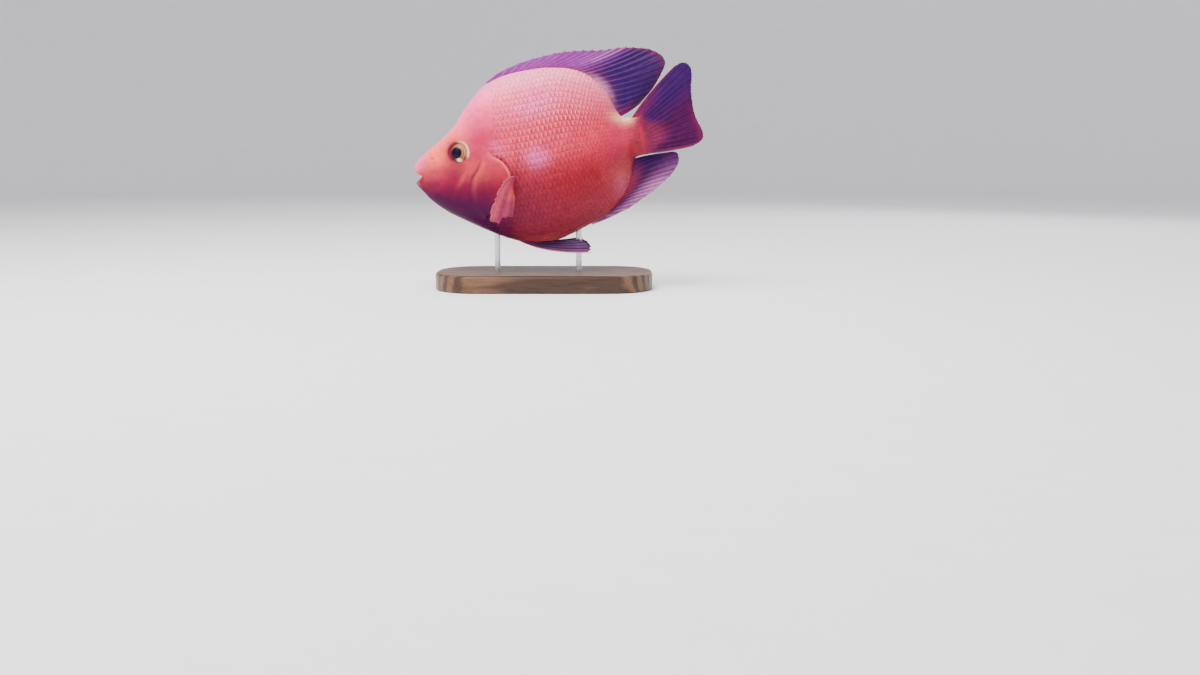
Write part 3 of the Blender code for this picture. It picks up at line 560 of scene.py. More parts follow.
# Markings in the order in which they are laid: a colour, its weight, and what limits it there.
# An oval has its middle, radii and tilt in degrees; a rise has a value, its start and its end; a
# line has a value, its middle and its width; and a share is a value itself.
MARKINGS = (
    # Throat, belly and the front of the flank, darker low down partly as painted shade.
    ("throat", 0.60, ("rise", "low", 0.45, 0.95), ("rise", "before", -0.075, -0.050)),
    ("keel", 0.55, ("oval", (0.0775, -0.0340), (0.0190, 0.0200))),
    ("jaw", 0.45, ("oval", (0.0775, -0.0340), (0.0190, 0.0200))),
    ("throat", 0.42, ("oval", (0.0575, -0.0360), (0.0130, 0.0110))),
    ("keel", 0.24, ("oval", (0.0810, -0.0200), (0.0150, 0.0140))),
    ("forehead", 0.24, ("oval", (0.0700, 0.0235), (0.0130, 0.0100))),
    ("rim", 0.34, ("rise", "low", 0.88, 1.0), ("line", "x", 0.080, 0.016)),
    ("belly", 0.45, ("oval", (0.0740, -0.0055), (0.0100, 0.0095))),
    # The rear fades from pink to coral, and the belly to a browner red.
    ("flank", 0.75, ("rise", "x", 0.118, 0.142), ("rise", "low", -1.0, 0.0), ("rise", "high", -0.9, 0.1)),
    ("cheek", 0.55, ("rise", "x", 0.122, 0.148)),
    ("belly", 0.74, ("rise", "x", 0.118, 0.146), ("rise", "low", -0.45, 0.50)),
    ("keel", 0.60, ("rise", "x", 0.145, 0.157)),
    # Painted shade under the tail root, by the anal fin.
    ("jaw", 0.40, ("oval", (0.1405, -0.0120), (0.0110, 0.0070))),
    ("jaw", 0.90, ("oval", (0.1596, 0.0108), (0.0048, 0.0060))),
    ("pearl", 0.055, ("oval", (0.1420, -0.0280), (0.0110, 0.0150))),
    # Painted lilac highlights on the flank.
    ("lilac", 0.14, ("oval", (0.1410, -0.0330), (0.0080, 0.0090))),
    ("lilac", 0.60, ("oval", (0.0900, 0.0325), (0.0130, 0.0075), 10)),
    ("lilac", 0.75, ("oval", (0.0860, -0.0015), (0.0070, 0.0060))),
    ("belly", 0.55, ("oval", (0.0990, -0.0200), (0.0200, 0.0120), 20)),
    # Head, in front of the gill slit.
    # Painted lilac highlight along the top of the forehead.
    ("lilac", 0.72, ("rise", "high", 0.80, 1.0), ("rise", "before", -0.078, -0.052),
        ("rise", "x", 0.022, 0.034)),
    ("snout", 0.92, ("oval", (0.0190, 0.0115), (0.0165, 0.0100), 38)),
    ("snout", 0.60, ("oval", (0.0340, 0.0210), (0.0110, 0.0060), 42)),
    ("snout", 0.35, ("oval", (0.0430, -0.0030), (0.0110, 0.0075), -20)),
    # Painted lilac highlight on the snout.
    ("lilac", 0.50, ("oval", (0.0060, 0.0090), (0.0045, 0.0035), 45)),
    ("crimson", 0.90, ("oval", (0.0530, 0.0165), (0.0080, 0.0062))),
    # Painted lilac highlight behind the top of the gill cover.
    ("lilac", 0.34, ("oval", (0.0615, 0.0095), (0.0065, 0.0042), -35)),
    ("forehead", 0.55, ("oval", (0.0570, 0.0050), (0.0065, 0.0042), -35)),
    ("jaw", 0.66, ("oval", (0.0280, -0.0035), (0.0145, 0.0080), -8)),
    ("cheek", 0.60, ("oval", (0.0130, 0.0005), (0.0070, 0.0045))),
    ("jaw", 0.60, ("oval", (0.0105, -0.0065), (0.0065, 0.0050))),
    # Dark crease of the cheek that fades downwards, painted shade in it, paler skin on both sides, and the
    # gill slit, with a painted highlight on the cover's edge and painted shade behind it.
    ("jaw", 0.75, ("line", "to_cheek", -0.0002, 0.0008), ("rise", "z", -0.030, -0.014),
        ("rise", "down", -0.0060, 0.0000), ("share", "creased")),
    ("rim", 0.16, ("line", "to_cheek", 0.0024, 0.0016), ("rise", "z", -0.026, -0.006),
        ("rise", "down", -0.0080, 0.0020)),
    ("rim", 0.18, ("oval", (0.0345, -0.0060), (0.0070, 0.0016), 48)),
    ("rim", 0.80, ("line", "to_gill", -0.0005, 0.0008), ("rise", "z", -0.0190, -0.0080),
        ("rise", "down", -0.0085, 0.0010)),
    ("jaw", 0.75, ("line", "to_gill", 0.0010, 0.0010), ("rise", "z", -0.036, -0.010),
        ("rise", "down", -0.0110, -0.0020)),
    # Painted shade at the pectoral fin's root.
    ("jaw", 0.60, ("oval", (0.0700, -0.0140), (0.0030, 0.0070), -10)),
    # Round the eye: painted shade in front of it and inside the socket's edge, a pearly fold from above it to
    # behind it, and a thin plum crescent of painted shade just in front of it.
    ("dusk", 0.85, ("rise", "to_eye", -0.0076, -0.0068)),
    ("dusk", 0.66, ("share", "ahead_wide"), ("line", "from_eye", 0.0080, 0.0022)),
    ("dusk", 0.22, ("share", "ahead"), ("line", "from_eye", 0.0100, 0.0045)),
    ("pearl", 0.80, ("share", "above"), ("line", "from_eye", 0.0071, 0.0007)),
    ("throat", 0.84, ("share", "ahead_narrow"), ("line", "from_eye", 0.0070, 0.0009)),
    # Lips, and the upper edge of the tail root.
    ("lip", 1.0, ("share", "upper_lip"), ("line", "from_lips", 0.0, 0.0028)),
    ("cream", 0.95, ("oval", (0.1478, 0.0142), (0.0074, 0.0038), -14), ("rise", "before", -0.1590, -0.1530)),
)
# Colours from the belly line, -1, to the back line, 1, on the trunk and on the head, partly the fish's own
# and partly painted light and shade: paler along the back, where light falls from above, and darker towards
# the belly and throat, where shade falls.
TRUNK_RAMP = (
    (-1.00, "keel"), (-0.35, "belly"), (0.02, "flank"), (0.36, "flank"), (0.70, "back"),
    (0.90, "crest"))
HEAD_RAMP = (
    (-0.95, "throat"), (-0.60, "throat"), (-0.22, "jaw"), (0.08, "cheek"), (0.25, "cheek"),
    (0.62, "forehead"), (0.90, "nape"))
HEAD_TO_TRUNK = (-0.070, -0.046)
# Directions from the eye of the painted shade and of the pearly fold.
EYE_SHADE_SIDE = math.radians(150)
PEARL_SIDE = math.radians(24)
LIP_HEIGHT = 0.0052
LIP_PALENESS = (0.85, 0.30)


def limited(weight, limits, at):
    """Weight times the value of each of its limits, as the table of markings describes them."""
    for kind, value, *rule in limits:
        if kind == "oval":
            weight = weight * spot_weight(at["x"], at["z"], value, *rule)
        elif kind == "rise":
            weight = weight * ease(at[value], *rule)
        elif kind == "line":
            weight = weight * bell(at[value] - rule[0], rule[1])
        else:
            weight = weight * at[value]
    return weight


def faded(z, least, width):
    """Strength of the cheek's crease: a bell of the height, which keeps a least share."""
    return least + (1 - least) * bell(z - CREASE_HEIGHT, width)


def lay(colour, rows, at, look):
    """Colours laid over a first one in turn, each by its weight and its limits."""
    for name, weight, *limits in rows:
        colour = blend(colour, getattr(look, name), limited(weight, limits, at))
    return colour


def side_values(x, z):
    """Values that limit markings and folds: places in side view, and distances to lines and eye."""
    high = height_share(x, z)
    from_eye = np.hypot(x - EYE_PLACE[0], z - EYE_PLACE[1])
    toward = np.arctan2(z - EYE_PLACE[1], x - EYE_PLACE[0])
    ahead = (1 + np.cos(toward - EYE_SHADE_SIDE)) / 2
    return {
        "x": x, "before": -x, "z": z, "down": -z, "high": high, "low": -high,
        "to_gill": distance_to(GILL_EDGE, x, z), "to_cheek": distance_to(CHEEK_EDGE, x, z),
        "creased": faded(z, *CREASE_SHADE), "sunk": faded(z, *CREASE_SINK),
        "from_eye": from_eye, "to_eye": -from_eye,
        "ahead": ahead, "ahead_wide": ahead**1.5, "ahead_narrow": ahead**2,
        "above": ease(np.cos(toward - PEARL_SIDE), 0.25, 0.80),
        "from_lips": np.hypot(x, z - np.sign(z) * LIP_HEIGHT), "upper_lip": np.where(z > 0, *LIP_PALENESS),
    }


def markings(points, look):
    """Colours of skin and scales, with painted light and shade in them: ramps from keel to crest, then soft
    ovals and lines over them.
    """
    at = side_values(points[..., 0], points[..., 2])
    trunk, head = ramp(at["high"], TRUNK_RAMP, look), ramp(at["high"], HEAD_RAMP, look)
    colour = trunk + (head - trunk) * ease(at["before"], *HEAD_TO_TRUNK)[..., None]
    return lay(colour, MARKINGS, at, look)


def new_piece(name, points, faces, material, stands_for=()):
    """Smooth mesh piece in its place on the fish, riding on the one body."""
    mesh = bpy.data.meshes.new(name)
    mesh.from_pydata(points.reshape(-1, 3).tolist(), [], faces)
    mesh.shade_smooth()
    mesh.materials.append(material)
    piece = bpy.data.objects.new(name, mesh)
    bpy.context.scene.collection.objects.link(piece)
    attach(piece, "root")
    if stands_for:
        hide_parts(*stands_for)
    return piece


def paint(piece, name, values):
    """Stores a colour or a number for each point of a piece."""
    if values.shape[-1] == 3 and values.ndim > 1:
        rgba = np.ones((values.size // 3, 4), np.float32)
        rgba[:, :3] = np.clip(values.reshape(-1, 3), 0, 1)
        attribute = piece.data.color_attributes.new(name, "FLOAT_COLOR", "POINT")
        attribute.data.foreach_set("color", rgba.ravel())
    else:
        attribute = piece.data.attributes.new(name, "FLOAT", "POINT")
        attribute.data.foreach_set("value", values.ravel().astype(np.float32))


def add_map(piece, name, values):
    """UV map that takes its values from the points of a piece."""
    corner = np.empty(len(piece.data.loops), dtype=np.int32)
    piece.data.loops.foreach_get("vertex_index", corner)
    layer = piece.data.uv_layers.new(name=name)
    layer.uv.foreach_set("vector", values.reshape(-1, 2)[corner].ravel().astype(np.float32))


def grid_faces(rows, columns, closed=False, start=0):
    """Quads of a grid of points, which may be closed across its columns."""
    i, j = np.meshgrid(np.arange(rows - 1), np.arange(columns if closed else columns - 1), indexing="ij")
    k = (j + 1) % columns
    corners = [i * columns + j, i * columns + k, (i + 1) * columns + k, (i + 1) * columns + j]
    return np.stack(corners, axis=-1).reshape(-1, 4) + start


def tube_faces(rows, columns, turned=False):
    """Faces of a closed tube: its quads, and fans to the two poles that follow its points."""
    j = np.arange(columns)
    k = (j + 1) % columns
    first, last, end = rows * columns, rows * columns + 1, (rows - 1) * columns
    fans = np.vstack([
        np.stack([np.full(columns, first), k, j], axis=-1),
        np.stack([np.full(columns, last), end + j, end + k], axis=-1)])
    order = slice(None, None, -1 if turned else 1)
    return grid_faces(rows, columns, closed=True)[:, order].tolist() + fans[:, order].tolist()


def sheet_faces(rows, columns):
    """Quads of a closed sheet: an upper grid, a lower one and the four rims between them.

    Upper points come first. Faces look outwards where the cross product of the row and column
    directions points from the lower grid to the upper one.
    """
    lower = rows * columns
    upper_faces = grid_faces(rows, columns)[:, ::-1]
    lower_faces = grid_faces(rows, columns, start=lower)
    i, j = np.arange(rows - 1), np.arange(columns - 1)
    near, far = i * columns, i * columns + columns - 1
    first, last = j, (rows - 1) * columns + j
    rims = [
        (near, near + lower, near + columns + lower, near + columns),
        (far, far + columns, far + columns + lower, far + lower),
        (first, first + 1, first + 1 + lower, first + lower),
        (last, last + lower, last + 1 + lower, last + 1),
    ]
    return np.vstack([upper_faces, lower_faces, *(np.stack(rim, axis=-1) for rim in rims)])


def fill(tree, node, sockets):
    """Gives sockets of a node their constants, or the outputs that feed them."""
    for name, value in sockets.items():
        socket = node.inputs[name]
        if isinstance(value, bpy.types.NodeSocket):
            tree.links.new(value, socket)
        else:
            socket.default_value = (*value, 1.0) if socket.type == "RGBA" else value


def add_node(tree, kind, sockets, **settings):
    """Shader node with its settings, and its sockets filled."""
    node = tree.nodes.new("ShaderNode" + kind)
    for name, value in settings.items():
        setattr(node, name, value)
    fill(tree, node, sockets)
    return node


def new_finish(name, sockets):
    """Principled material with its constants on the shader's own sockets."""
    material = bpy.data.materials.new(name)
    material.use_nodes = True
    shader = material.node_tree.nodes["Principled BSDF"]
    fill(material.node_tree, shader, sockets)
    return material, material.node_tree, shader


def object_place(tree, scale=(1, 1, 1)):
    """Object coordinates, stretched by a Mapping node."""
    place = add_node(tree, "TexCoord", {}).outputs["Object"]
    return add_node(tree, "Mapping", {"Scale": scale, "Vector": place}).outputs["Vector"]


def noise(tree, vector, scale, detail=3.0):
    """Value of a noise texture, from 0 to 1."""
    sockets = {"Scale": scale, "Detail": detail, "Roughness": NOISE_ROUGHNESS, "Vector": vector}
    return add_node(tree, "TexNoise", sockets).outputs["Fac"]


def spread(tree, value, low, high, from_low=0.0, from_high=1.0, **settings):
    """Value carried from one range to another."""
    sockets = {"Value": value, "From Min": from_low, "From Max": from_high, "To Min": low, "To Max": high}
    return add_node(tree, "MapRange", sockets, **settings).outputs["Result"]


def mottle(tree, vector, scale, detail, depth, cut=0.25):
    """Noise round 1, by a depth down and up, with its rare lowest and highest values cut off."""
    return spread(tree, noise(tree, vector, scale, detail), 1 - depth, 1 + depth, cut, 1 - cut)


def times(tree, first, second):
    """Product of two values."""
    return add_node(tree, "Math", {0: first, 1: second}, operation="MULTIPLY").outputs[0]


def cloudy(tree, vector, clouds, specks):
    """Mottling by two sizes of noise, each by a depth of its own."""
    return times(
        tree, mottle(tree, vector, CLOUDS_PER_METRE, 4.0, clouds),
        mottle(tree, vector, SPECKS_PER_METRE, 2.0, specks))


def shaded(tree, colour, share):
    """Colour made lighter or darker by a value round 1."""
    return add_node(tree, "VectorMath", {0: colour, "Scale": share}, operation="SCALE").outputs["Vector"]


def mixed(tree, share, first, second):
    """Mix of two colours, each an output or a constant, by the Mix node's own colour sockets."""
    first_colour, second_colour, result = MIX_SOCKETS
    sockets = {"Factor": share, first_colour: first, second_colour: second}
    return add_node(tree, "Mix", sockets, data_type="RGBA").outputs[result]


def painted(tree, name, output="Color"):
    """Colour or number that a piece carries in an attribute."""
    return add_node(tree, "Attribute", {}, attribute_name=name).outputs[output]


def own_map(tree, name):
    """UV map of a piece, which follows its surface."""
    return add_node(tree, "UVMap", {}, uv_map=name).outputs["UV"]


def raise_bumps(tree, shader, *bumps):
    """Bumps, each a height's output and its distance in metres, one on top of the other."""
    before = {}
    for height, distance in bumps:
        bump = add_node(tree, "Bump", {"Distance": distance, "Height": height, **before})
        before = {"Normal": bump.outputs["Normal"]}
    fill(tree, shader, before)


def skin_finish():
    """Wet skin: the painted markings, mottled by two sizes of noise, over pored, glossy flesh."""
    material, tree, shader = new_finish("wet skin", {
        "Specular IOR Level": 0.05, "Subsurface Weight": 0.12, "Subsurface Scale": 0.004,
        "Subsurface Radius": FLESH_GLOW, "Coat Weight": 0.035, "Coat Roughness": 0.15})
    place = object_place(tree)
    mottled = cloudy(tree, place, 0.14, 0.07)
    pores = add_node(tree, "TexVoronoi", {"Scale": 1100.0, "Vector": place}, feature="SMOOTH_F1")
    fill(tree, shader, {
        "Base Color": shaded(tree, painted(tree, "markings"), mottled),
        "Roughness": spread(tree, noise(tree, place, 700.0), 0.28, 0.46)})
    raise_bumps(tree, shader, (pores.outputs["Distance"], 0.00012), (noise(tree, place, 420.0), 0.00018))
    return material


def eye_axes(side):
    """Middle of an eyeball and its axes: towards the tail, up, and outwards."""
    spot, outward = flank_spot(EYE_PLACE, side)
    tailward = unit(np.array([1.0, 0, 0]) - outward * outward[0])
    upward = unit(np.array([0, 0, 1.0]) - outward * outward[2] - tailward * tailward[2])
    return spot - outward * EYE_SUNK, tailward, upward, outward


# Folds of the head: a height in metres and its limits, as in the table of markings.
FOLDS = (
    (-0.00040, ("line", "to_cheek", 0.0, 0.0008), ("rise", "z", -0.032, -0.016),
        ("rise", "down", -0.008, -0.001), ("share", "sunk"), ("share", "flank")),
    (0.00025, ("line", "to_cheek", -0.0019, 0.0011), ("rise", "z", -0.030, -0.020),
        ("rise", "down", -0.008, 0.000), ("share", "flank")),
    (-0.00030, ("line", "to_jaw", 0.0, 0.0007), ("rise", "down", -0.0005, 0.0025),
        ("rise", "z", -0.0145, -0.0100)),
)


def head_relief(points):
    """Heights over the plain head: gill cover, folds, orbit, eye socket and nostril.

    The cover rises in a straight ramp up to its edge. The orbit and the nostril's collar are bells
    of the distance from a ring, and the orbit is highest above and behind the eye.
    """
    x, y, z = points[..., 0], points[..., 1], points[..., 2]
    at = side_values(x, z)
    at["to_jaw"] = distance_to(JAW_FOLD, x, z)
    at["flank"] = np.clip((np.abs(y) - RELIEF_FROM) / RELIEF_FROM, 0, 1)
    cover = np.clip(1 + at["to_gill"] / GILL_RAMP, 0, 1) * np.clip(0.5 + at["to_cheek"] / COVER_EDGE, 0, 1)
    cover *= np.clip((COVER_TOP - z) / COVER_FADE + 0.5, 0, 1)
    height = GILL_LIFT * cover * at["flank"] + sum(limited(amount, limits, at) for amount, *limits in FOLDS)
    from_nostril = np.hypot(x - NOSTRIL_PLACE[0], z - NOSTRIL_PLACE[1])
    pit = bell(from_nostril, NOSTRIL_RADIUS) ** 2
    collar = bell(from_nostril - COLLAR_AT * NOSTRIL_RADIUS, COLLAR_WIDTH * NOSTRIL_RADIUS)
    low, swing, top = ORBIT_SLANT
    for side in (-1, 1):
        middle, tailward, upward, _ = eye_axes(side)
        u, w = (points - middle) @ tailward, (points - middle) @ upward
        slant = low + swing * np.cos(np.arctan2(w, u) - top)
        orbit = bell(np.hypot(u, w) - ORBIT_RADIUS, ORBIT_WIDTH) * slant
        socket = ease(-np.hypot(u, w), *SOCKET_EDGE)
        forms = ORBIT_HEIGHT * orbit - SOCKET_DEPTH * socket + COLLAR_HEIGHT * collar - NOSTRIL_DEPTH * pit
        height = height + (np.sign(y) == side) * forms
    return height


def slit_ring(angle):
    """Ring at which each line along the body crosses the gill slit, found by halving."""
    low, high = np.full(angle.shape, SLIT_RINGS[0]), np.full(angle.shape, SLIT_RINGS[1])
    for _ in range(HALVINGS):
        middle = (low + high) / 2
        point = body_points(middle, angle)
        behind = distance_to(GILL_EDGE, point[..., 0], point[..., 2]) > 0
        low, high = np.where(behind, low, middle), np.where(behind, middle, high)
    return (low + high) / 2


def scale_cover(points):
    """How far the scales cover the skin at a place, from 0 on the head to 1 on the flank."""
    x, z = points[..., 0], points[..., 2]
    behind = distance_to(GILL_EDGE, x, z)
    return ease(behind, 0.0010, np.where(z > COVER_TOP, 0.024, 0.004)) * ease(-x, -0.1585, -0.1560)


def mouth_loops(lips):
    """Loops inside the mouth: a rolled lip, then a bowl whose depth goes with the cosine."""
    middle = lips.mean(axis=0)
    loops = []
    for share in np.linspace(0.08, 1, 9):
        reach, deep = MOUTH_RIM * math.sin(share * math.pi / 2), MOUTH_DEPTH * math.cos(share * math.pi / 2)
        loops.append(middle + (lips - middle) * reach + np.array([deep, 0, 0]))
    for share in (0.25, 0.5, 0.75):
        reach = MOUTH_RIM + (1 - MOUTH_RIM) * share
        roll = LIP_ROLL * math.sin(share * math.pi)
        loops.append(middle + (lips - middle) * reach - np.array([roll, 0, 0]))
    return np.array(loops)


def run_out(last):
    """Loops that carry the tail root on over the fin: a wedge that ends in one rounded lobe.

    Each loop is the last one moved along the rays by its share of the reach, a bell of the height,
    and thinned by a power of the sine of that share.
    """
    share = np.linspace(0, 1, RUNOUT_LOOPS + 1)[1:, None]
    high = last[:, 2] / np.abs(last[:, 2]).max()
    forth = (RUNOUT_LEAST + RUNOUT * bell(high - RUNOUT_LOBE, RUNOUT_SPREAD)) * share
    slope = np.interp(high, (-1, 0, 1), RUNOUT_SLOPES)
    y = last[:, 1] * (1 - 0.92 * np.sin(share * math.pi / 2) ** 1.3)
    return np.stack([last[:, 0] + forth, y, last[:, 2] + forth * slope], axis=-1)


def run_out_colours(points, last, fins):
    """Colours of the wedge: from the tail root's own to those of the fin's nearest place under it."""
    share, depth = np.meshgrid(np.linspace(0, 1, 60), np.linspace(0, 0.6, 50), indexing="ij")
    fin = tail_place(share, depth)[..., [0, 2]].reshape(-1, 2)
    apart = np.linalg.norm(points[..., None, [0, 2]] - fin, axis=-1)
    nearest = np.argmin(apart, axis=-1)
    under = tail_colours(share.ravel()[nearest], depth.ravel()[nearest], np.zeros(nearest.shape), fins)
    weight = ease(np.arange(len(points)) / len(points), -0.25, 0.60)[:, None, None]
    return last + (under - last) * weight


def make_skin(look, coat, fins):
    """One skin from the depth of the mouth to the tail root, folded under the gill cover's edge.

    Lines round the body are set closer on the flanks by a sine of twice the angle. Columns run
    from the lips to the gill slit, turn under the cover's edge, and go on to the tail root.
    """
    turn = np.linspace(0, 2 * math.pi, AROUND, endpoint=False)
    turn = turn + FLANK_CROWDING * np.sin(2 * turn)
    slit = slit_ring(turn)
    head = np.linspace(0, 1, HEAD_COLUMNS)[:, None] * slit
    under = slit + FLAP_STEP * np.arange(1, len(FLAP_TURN) + 1)[:, None]
    start = under[-1] + FLAP_STEP
    rear = start + np.linspace(0, 1, REAR_COLUMNS)[:, None] ** 1.15 * (LAST_RING - start)
    ring = np.vstack([head, under, rear])
    angle = np.broadcast_to(turn, ring.shape)
    points = body_points(ring, angle)
    tailward, outward = body_axes(ring, angle)
    height = np.zeros(ring.shape)
    height[:HEAD_COLUMNS] = head_relief(points[:HEAD_COLUMNS])
    edge = height[HEAD_COLUMNS - 1].clip(0, None)
    loose = edge / GILL_LIFT
    slide = np.zeros(ring.shape)
    for k, (forward, share) in enumerate(FLAP_TURN):
        height[HEAD_COLUMNS + k] = edge * share - SLIT_SINK * loose * (1 - share)
        slide[HEAD_COLUMNS + k] = forward * loose
    behind = HEAD_COLUMNS + len(FLAP_TURN)
    past = np.linalg.norm(points[behind:] - points[behind], axis=-1)
    slide[behind:] = SLIT_SLIDE * loose * np.exp(-past / SLIT_FADE)
    height[behind:] = -SLIT_SINK * loose * bell(past, 2 * SLIT_FADE)
    height[behind:] -= coat * scale_cover(points[behind:])
    lateral = distance_to(LATERAL_LINE, points[..., 0], points[..., 2])
    height -= LATERAL_DEPTH * bell(lateral, LATERAL_WIDTH) * scale_cover(points)
    skin = points + outward * height[..., None] - tailward * slide[..., None]
    inner = mouth_loops(skin[0])
    skin = np.concatenate([skin, run_out(skin[-1])])
    colours = markings(points, look)
    colours = np.concatenate([colours, run_out_colours(skin[-RUNOUT_LOOPS:], colours[-1], fins)])
    dark = np.broadcast_to(np.array(look.mouth), inner.shape).copy()
    dark[-3:] = colours[0]
    dark[-4] = (colours[0] + 2 * np.array(look.mouth)) / 3
    loops, paints = np.concatenate([inner, skin]), np.concatenate([dark, colours])
    ends = np.array([inner[0].mean(axis=0) + THROAT_END, skin[-1].mean(axis=0)])
    places = in_place(np.vstack([loops.reshape(-1, 3), ends]))
    flesh = ("head", "gill_cover_left", "gill_cover_right", "torso", "tail_peduncle")
    piece = new_piece("skin", places, tube_faces(len(loops), AROUND), skin_finish(), flesh)
    paint(piece, "markings", np.vstack([paints.reshape(-1, 3), look.mouth, colours[-1].mean(axis=0)]))


def flank_table():
    """Lattice of the left flank: ring and angle at each distance from the snout and arc height.

    Every section across the body is measured along its own curve, upwards and downwards from the
    flank's widest line, so that scales keep their size over the rounded back and belly.
    """
    at = np.linspace(SCALES_FROM, SCALES_TO, 220)
    angle = np.linspace(0.02, math.pi - 0.02, 260)
    rings = np.linspace(3, LAST_RING, 420)
    across = body_points(*np.meshgrid(rings, angle, indexing="ij"))[..., 0]
    ring = np.stack([np.interp(at, across[:, j], rings) for j in range(len(angle))], axis=1)
    points = body_points(ring, np.broadcast_to(angle, ring.shape))
    length = np.linalg.norm(np.diff(points, axis=1), axis=-1)
    arc = np.concatenate([np.zeros((len(at), 1)), np.cumsum(length, axis=1)], axis=1)
    flank = np.array([np.interp(math.pi / 2, angle, row) for row in arc])
    arc = flank[:, None] - arc
    heights = np.linspace(-ARC_REACH, ARC_REACH, 520)
    ring_at = np.stack([np.interp(heights, a[::-1], r[::-1]) for a, r in zip(arc, ring)])
    angle_at = np.stack([np.interp(heights, a[::-1], angle[::-1]) for a in arc])
    return at, heights, ring_at, angle_at, arc[:, -1], arc[:, 0]


def look_up(table, x, height):
    """Ring and angle at a place of the flank's lattice, weighted from its four nearest points."""
    at, heights, ring_at, angle_at = table[:4]
    u = np.clip((x - at[0]) / (at[1] - at[0]), 0, len(at) - 1.001)
    w = np.clip((height - heights[0]) / (heights[1] - heights[0]), 0, len(heights) - 1.001)
    i, j = u.astype(int), w.astype(int)
    u, w = u - i, w - j
    found = []
    for grid in (ring_at, angle_at):
        near = grid[i, j] * (1 - w) + grid[i, j + 1] * w
        far = grid[i + 1, j] * (1 - w) + grid[i + 1, j + 1] * w
        found.append(near * (1 - u) + far * u)
    return found


def scale_size(x):
    """Scales shrink towards the tail root."""
    return 1 - TAIL_SCALE_LOSS * ease(x, 0.098, 0.150)


def scale_lattice(sizes, table):
    """Rows and steps of every scale of one flank, each second row set back by half a step."""
    fine = np.linspace(SCALES_FROM, SCALES_TO, 600)
    steps = np.r_[0, np.cumsum(np.diff(fine) / (sizes.pitch * scale_size(fine[1:])))]
    rows, counts = np.meshgrid(np.arange(-26, 27), np.arange(int(steps[-1]) + 1), indexing="ij")
    step = (counts + 0.5 * (rows % 2)).ravel()
    row = rows.ravel()
    x = np.interp(step, steps, fine)
    arc = row * sizes.row * scale_size(x)
    lowest, highest = np.interp(x, table[0], table[4]), np.interp(x, table[0], table[5])
    kept = (arc > lowest + EDGE_ROOM) & (arc < highest - EDGE_ROOM) & (step < steps[-1] - 1)
    ring, angle = look_up(table, x, arc)
    place = body_points(ring, angle)
    behind = distance_to(GILL_EDGE, place[..., 0], place[..., 2])
    kept &= behind > np.where(place[..., 2] > COVER_TOP, 0.0030, -0.0002)
    return row[kept], step[kept], steps, fine


def fleck_highlight_strength(x, z):
    """Where the scales' painted highlights show most: high on the rear flank, and faintly below."""
    high = height_share(x, z)
    ovals = [limited(weight, limits, {"x": x, "z": z}) for weight, *limits in (UPPER_FLECK_HIGHLIGHTS, FRONT_FLECK_HIGHLIGHTS)]
    shown = np.clip(LEAST_FLECK_HIGHLIGHT + ovals[0] + ovals[1], 0, 0.9)
    return shown * ease(high, -1.0, -0.25) * (1 - 0.6 * ease(high, 0.75, 0.95))


